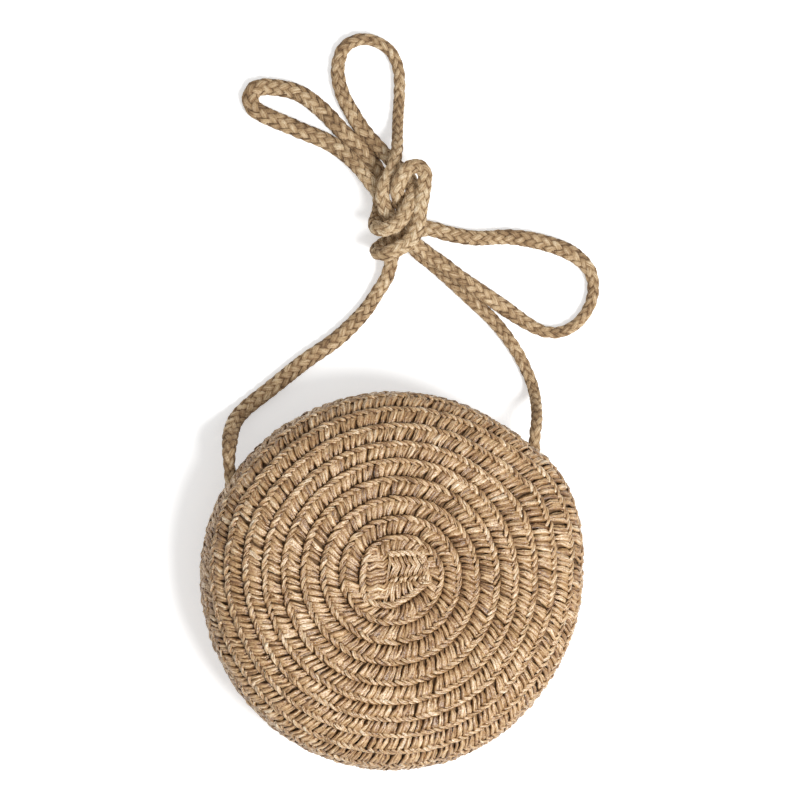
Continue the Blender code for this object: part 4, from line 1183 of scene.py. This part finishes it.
def ground_dish(side, label):
    """Rows of points from the middle out to the rim on the outer skin, then back in on
    the inner one. Each is the CAD's skin moved in by the relief and then by the wall. Near
    the rim it rises towards the strips, so that no daylight shows between them."""
    heading = np.linspace(0, 2 * np.pi, GROUND_STEPS, endpoint=False)
    reach = [1 * mm, *np.linspace(6 * mm, RIM_REACH, GROUND_ROWS)]
    heading, reach = np.meshgrid(heading, reach)
    place, off = on_dish(heading, reach)
    near_rim = smooth_step((reach - RIM_REACH) / GROUND_RISE_RUN + 1)
    outer = place - off * (relief(reach) - GROUND_RIM_RISE * near_rim)[..., None]
    inner = place - off * (relief(reach) + GROUND_WALL)[..., None]
    points = to_side(np.concatenate((outer, inner[::-1])), side)
    both_reach = np.concatenate((reach, reach[::-1]))
    uv = np.stack((np.tile(heading, (2, 1)) / (2 * np.pi), both_reach), axis=-1)
    dish = add_turned("straw_ground_" + label, points, uv, shaded_ground_finish)
    return fit_in(dish, "straw_braid", label + "_shell")


grounds = both_halves(ground_dish)
print("ground faces:", len(grounds[0].data.polygons))

# %% [markdown]
# The lining
#
# Inside each half lies a dish of plain cotton, sewn in under the zip. It is the same
# turned surface as the ground, a little smaller, with shallow folds that run down from
# the rim. They only push inwards, so the cloth stays clear of the straw.

# %% Lining
LINING_RADIUS = 83 * mm
LINING_DEPTH = 22.1 * mm
LINING_WALL = 0.6 * mm
LINING_FOLD = 0.7 * mm
LINING_FOLDS = ((1.0, 17, 0.0), (0.7, 29, 1.1), (0.5, 41, 2.3))
LINING_MOUTH_ANGLE, LINING_CLOSING = 72, 12
LINING_STEPS = 240


def lining_rim(heading):
    """Height of the cloth's edge over the seam: open as far as the mouth, then closed."""
    degrees = np.degrees(np.arccos(np.cos(heading)))
    closed = smooth_step((degrees - LINING_MOUTH_ANGLE) / LINING_CLOSING)
    return RIM_MOUTH + (RIM_CLOSED - RIM_MOUTH) * closed


def lining_dish(side, label):
    """Panel and shoulder of a smaller dish. A fold's depth is a sum of sines of the
    heading times a bump that is nothing at the rim and on the panel."""
    heading = np.linspace(0, 2 * np.pi, LINING_STEPS, endpoint=False)
    rim = lining_rim(heading)
    flat_out = np.linspace(2 * mm, PANEL_FLAT - 3 * mm, 8)[:, None] * np.ones(LINING_STEPS)
    turn = np.linspace(0.02, np.pi / 2, 22)[:, None]
    out, high = shoulder(turn, rim, LINING_RADIUS, LINING_DEPTH)
    folds = sum(size * np.sin(count * heading + phase) for size, count, phase in LINING_FOLDS)
    depth = LINING_FOLD * np.clip(folds, 0, None) * np.sin(2 * turn) ** 2
    out = np.vstack((flat_out, out - depth))
    high = np.vstack((np.full(flat_out.shape, LINING_DEPTH), high - 0.5 * depth))
    thinner = LINING_WALL * np.linspace(0, 1, len(out))[:, None]
    inner_out = np.clip(out - thinner, 1 * mm, None)
    inner_high = np.where(high > rim + LINING_WALL, high - LINING_WALL, high)
    out, high = np.vstack((out, inner_out[::-1])), np.vstack((high, inner_high[::-1]))
    run = np.linspace(0, 0.25, len(out))[:, None]
    uv = np.stack(np.broadcast_arrays(heading / (2 * np.pi), run), axis=-1)
    points = to_side(arc_rings(heading, out, high), side)
    dish = add_turned(label + "_lining_cloth", points, uv, lining_finish)
    return fit_in(dish, "lining", label + "_lining")


# %% Lining cloth
def woven_material(name, dark, light, threads_per_metre, roughness, height):
    """Plain weave on Object coordinates: two sets of fine waves, square to each other,
    multiplied, make the over and under of the threads."""
    surface, nodes, links, shader = start_material(name, roughness, specular=0.3)
    place = nodes.new("ShaderNodeTexCoord").outputs["Object"]
    waves = []
    for direction in ("X", "Y"):
        wave = nodes.new("ShaderNodeTexWave")
        wave.bands_direction = direction
        wave.inputs["Scale"].default_value = threads_per_metre / 20
        wave.inputs["Distortion"].default_value = 0.6
        wave.inputs["Detail"].default_value = 1.0
        links.new(place, wave.inputs["Vector"])
        waves.append(wave.outputs["Fac"])
    weave = maths(nodes, links, "MULTIPLY", *waves)
    threads = tinted(nodes, links, weave, ((0.0, *dark), (1.0, *light)))
    patches = stretched_noise(nodes, links, place, (25, 25, 25), 2.0)
    shade = tinted(nodes, links, patches, ((0.3, 228, 224, 218), (0.7, 255, 255, 255)))
    links.new(multiply(nodes, links, threads, shade), shader.inputs["Base Color"])
    add_bump(nodes, links, shader, weave, 1.0, height)
    return surface


lining_finish = woven_material(
    "lining_cotton", (196, 178, 150), (226, 212, 188), 1800, 0.85, 0.08 * mm
)
linings = both_halves(lining_dish)
print("lining faces:", len(linings[0].data.polygons))

# %% [markdown]
# The zip
#
# The zip follows the mouth's arc. Its tapes are woven strips sewn to the straw's edge,
# with a thicker cord along the coil. Each coil is one nylon wire wound in flat loops, so
# it is drawn as what it is: a closed tube that winds round an axis bent to the arc.

# %% Zip tapes
ZIP_RADIUS = BAG_RADIUS - 5.6 * mm
COIL_INNER_Z = 0.75 * mm
COIL_OUTER_Z = 2.65 * mm
COIL_HALF_ANGLE = math.radians(41.5)
TAPE_HALF_ANGLE = math.radians(55.0)
TAPE_JOIN_ANGLE = math.radians(43.0)
TAPE_JOIN_RUN = math.radians(3.0)
TAPE_JOIN_Z = 0.35 * mm
TAPE_FOOT_Z = COIL_OUTER_Z + 0.3 * mm
TAPE_TOP_Z = 12 * mm
TAPE_THICKNESS = 0.5 * mm
TAPE_TOP_RADIUS = 81.8 * mm
TAPE_RINGS = 140
TAPE_RIPPLE, RIPPLES_PER_RADIAN = 0.12 * mm, 23


def zip_tape(side, label):
    """The tape's section, a long thin loop with a round cord at its foot, carried along
    the arc. Its top leans in with the wall. Past the last stop the two tapes come together
    and fill the mouth as far as the rope."""
    up = np.array((0.0, 0.06, 0.12, 0.3, 0.55, 0.8, 1.0))
    height = TAPE_FOOT_Z + (TAPE_TOP_Z - TAPE_FOOT_Z) * up
    middle = ZIP_RADIUS + (TAPE_TOP_RADIUS - TAPE_THICKNESS / 2 - ZIP_RADIUS) * up
    half = np.array((0.25, 0.55, 0.27, 0.24, 0.25, 0.24, 0.22)) * mm
    out = np.concatenate((middle + half, (middle - half)[::-1]))
    height, up = np.concatenate((height, height[::-1])), np.concatenate((up, up[::-1]))
    angle = np.linspace(-TAPE_HALF_ANGLE, TAPE_HALF_ANGLE, TAPE_RINGS)[:, None]
    ripple = TAPE_RIPPLE * np.sin(RIPPLES_PER_RADIAN * angle) * up
    joined = smooth_step((np.abs(angle) - TAPE_JOIN_ANGLE) / TAPE_JOIN_RUN) * (1 - up)
    height = height - (TAPE_FOOT_Z - TAPE_JOIN_Z) * joined
    points = arc_rings(angle, out + ripple, side * height)
    tape = add_tubes("tape_" + label, points[None], (angle * ZIP_RADIUS).T, tape_finish)
    return fit_in(tape, "zip_tape", "zip_tape_" + label)


tape_finish = fibre_material(
    "zip_tape_weave", ((0.0, 176, 148, 112), (1.0, 202, 176, 140)),
    ((0.3, 196, 186, 170), (0.7, 255, 255, 255)), (60.0, 2400.0, 1.0), 0.8, 0.06 * mm,
)
tapes = both_halves(zip_tape)
print("tape faces:", len(tapes[0].data.polygons))

# %% Zip coils
COIL_PITCH = 1.25 * mm
COIL_WIRE = 0.34 * mm
COIL_RINGS_PER_TURN = 14
COIL_HALF_HEIGHT = 1.1 * mm
WIRE_SIDES = 6


def squared(wave, power):
    """A sine or cosine with its flanks made steeper: its size to the power, sign kept."""
    return np.sign(wave) * np.abs(wave) ** power


def zip_coil(side, label):
    """Loops round the coil's own middle: a flattened circle whose height swings with the
    sine and whose reach towards the seam swings with the cosine, raised to keep its
    sides straight, while the angle along the arc grows by a pitch for each loop."""
    turns = 2 * COIL_HALF_ANGLE * ZIP_RADIUS / COIL_PITCH
    phase = np.linspace(0, turns * 2 * np.pi, int(turns * COIL_RINGS_PER_TURN))
    angle = -COIL_HALF_ANGLE + phase / (2 * np.pi) * COIL_PITCH / ZIP_RADIUS
    middle = (COIL_INNER_Z + COIL_OUTER_Z) / 2
    reach = (COIL_OUTER_Z - COIL_INNER_Z) / 2 + 0.1 * mm - COIL_WIRE
    out = ZIP_RADIUS + (COIL_HALF_HEIGHT - COIL_WIRE) * squared(np.sin(phase), 0.8)
    line = arc_rings(angle, out, side * (middle - reach * squared(np.cos(phase), 0.7)))
    ahead = unit(np.gradient(line, axis=0))
    along_arc = np.stack((np.cos(angle), -np.sin(angle), 0 * angle), axis=-1)
    beside = unit(along_arc - np.einsum("ij,ij->i", along_arc, ahead)[:, None] * ahead)
    rings = oval_rings(line, beside, np.cross(ahead, beside), COIL_WIRE, COIL_WIRE, WIRE_SIDES)
    coil = add_tubes("coil_" + label, rings[None], travelled(line)[None], coil_finish)
    return fit_in(coil, "zip_coil", "zip_coil_" + label)


coil_finish = fibre_material(
    "zip_coil_nylon", ((0.0, 150, 118, 84), (1.0, 176, 142, 104)),
    ((0.3, 225, 220, 212), (0.7, 255, 255, 255)), (2.0, 500.0, 1.0), 0.35, 0.01 * mm,
)
coils = both_halves(zip_coil)
print("coil faces:", len(coils[0].data.polygons))

# %% [markdown]
# Thread round the rope's ends
#
# Where each rope end is sewn into the seam it is whipped: one thread wound round it side
# by side, so it can't fray. A helix of touching turns shows that.

# %% Whippings
THREAD_RADIUS = 0.36 * mm
THREAD_RINGS_PER_TURN = 20


def whipping(label):
    """A helix round the rope: radius and length from the CAD sleeve's box, one turn for
    each thread's width along it."""
    low, high = (np.array(corner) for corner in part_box("strap_whipping_" + label))
    middle = (low + high) / 2
    radius = (high[0] - low[0]) / 2 - THREAD_RADIUS
    pitch = 2 * THREAD_RADIUS
    turns = (high[1] - low[1] - pitch) / pitch
    phase = np.linspace(0, turns * 2 * np.pi, int(turns * THREAD_RINGS_PER_TURN))
    outward = np.stack((np.cos(phase), 0 * phase, np.sin(phase)), axis=-1)
    line = radius * outward + (middle[0], low[1] + THREAD_RADIUS, middle[2])
    line[:, 1] += phase / (2 * np.pi) * pitch
    beside = np.cross(unit(np.gradient(line, axis=0)), outward)
    rings = oval_rings(line, outward, beside, THREAD_RADIUS, THREAD_RADIUS, WIRE_SIDES)
    thread = add_tubes("whipping_" + label, rings[None], travelled(line)[None], thread_finish)
    return fit_in(thread, "whipping", "strap_whipping_" + label)


thread_finish = fibre_material(
    "waxed_thread", ((0.0, 140, 110, 76), (1.0, 170, 138, 98)),
    ((0.3, 200, 190, 176), (0.7, 255, 255, 255)), (3.0, 1500.0, 1.0), 0.6, 0.03 * mm,
)
whippings = [whipping(label) for label in ("left", "right")]
print("whipping faces:", len(whippings[0].data.polygons))

# %% [markdown]
# Brass
#
# Slider, pull and stops have the right shape in the CAD already, so they stay and only
# get a finish: light antique brass. Its colour darkens in soft patches where fingers
# don't reach, and fine scratches run along it.

# %% Brass parts
def brass_material():
    """Two noises: a soft one picks the tint, a stretched one dulls and scratches."""
    surface, nodes, links, shader = start_material("antique_brass", 0.34, metallic=1.0)
    place = nodes.new("ShaderNodeTexCoord").outputs["Object"]
    patches = stretched_noise(nodes, links, place, (420, 420, 420), 4.0)
    tints = ((0.3, 150, 120, 70), (0.55, 202, 172, 112), (0.8, 226, 202, 148))
    links.new(tinted(nodes, links, patches, tints), shader.inputs["Base Color"])
    scratches = stretched_noise(nodes, links, place, (300, 5200, 900), 3.0)
    dull = nodes.new("ShaderNodeMapRange")
    dull.inputs["To Min"].default_value = 0.26
    dull.inputs["To Max"].default_value = 0.5
    links.new(scratches, dull.inputs["Value"])
    links.new(dull.outputs["Result"], shader.inputs["Roughness"])
    add_bump(nodes, links, shader, scratches, 0.6, 0.02 * mm)
    return surface


brass_finish = brass_material()
brass_nodes = (
    "zip_slider", "zip_pull", "zip_bottom_stop", "zip_top_stop_front", "zip_top_stop_back",
)
for node in brass_nodes:
    for slot in bpy.data.objects[node].material_slots:
        slot.material = brass_finish
print("brass parts:", len(brass_nodes))

# %% [markdown]
# Floor, light and background
#
# The picture is a product shot: soft light from the lower right and a white background.
# A pale floor catches the shadow. Where the camera sees the floor or the world directly,
# a little white is added, so the background is white without more light on the bag.

# %% Stage
FLOOR_HALF = 4.0
FLOOR_GLOW = 0.42
WORLD_STRENGTH = 0.54
KEY_PLACE = (0.42, -0.42, 1.1)
KEY_TARGET = (0, 0.08, 0)
KEY_SIZE, KEY_POWER = 0.45, 14


def add_floor():
    """A square that glows a little for rays that see it, but not for those that light."""
    mesh = bpy.data.meshes.new("floor")
    corners = ((-1, -1, 0), (1, -1, 0), (1, 1, 0), (-1, 1, 0))
    mesh.from_pydata(np.multiply(corners, FLOOR_HALF).tolist(), [], [(0, 1, 2, 3)])
    surface, nodes, links, shader = start_material("floor_paper", 0.9, specular=0.2)
    shader.inputs["Base Color"].default_value = (0.86, 0.86, 0.86, 1.0)
    shader.inputs["Emission Color"].default_value = (1, 1, 1, 1)
    ray = nodes.new("ShaderNodeLightPath").outputs
    seen = maths(nodes, links, "MAXIMUM", ray["Is Camera Ray"], ray["Is Glossy Ray"])
    seen = maths(nodes, links, "MAXIMUM", seen, ray["Is Transmission Ray"])
    glow = maths(nodes, links, "MULTIPLY", seen, FLOOR_GLOW)
    links.new(glow, shader.inputs["Emission Strength"])
    mesh.materials.append(surface)
    floor = bpy.data.objects.new("floor", mesh)
    bpy.context.scene.collection.objects.link(floor)


def add_lamp():
    """A soft round lamp whose back axis points from its target to its place."""
    lamp = bpy.data.lights.new("key", "AREA")
    lamp.shape = "DISK"
    lamp.size = KEY_SIZE
    lamp.energy = KEY_POWER
    back = unit(np.subtract(KEY_PLACE, KEY_TARGET))
    place_item("key", lamp, unit(np.cross((0, 1, 0), back)), back, KEY_PLACE)


def light_world():
    """White light from all round, at full white where the camera sees it directly."""
    world = bpy.data.worlds.new("studio")
    world.use_nodes = True
    bpy.context.scene.world = world
    nodes, links = world.node_tree.nodes, world.node_tree.links
    background = nodes["Background"]
    background.inputs["Color"].default_value = (1, 1, 1, 1)
    ray = nodes.new("ShaderNodeLightPath").outputs
    mix = nodes.new("ShaderNodeMapRange")
    mix.inputs["To Min"].default_value = WORLD_STRENGTH
    mix.inputs["To Max"].default_value = 1.0
    links.new(ray["Is Camera Ray"], mix.inputs["Value"])
    links.new(mix.outputs["Result"], background.inputs["Strength"])


add_floor()
light_world()
add_lamp()
bpy.context.scene.view_settings.view_transform = "Standard"
print("floor, world and key light are set")
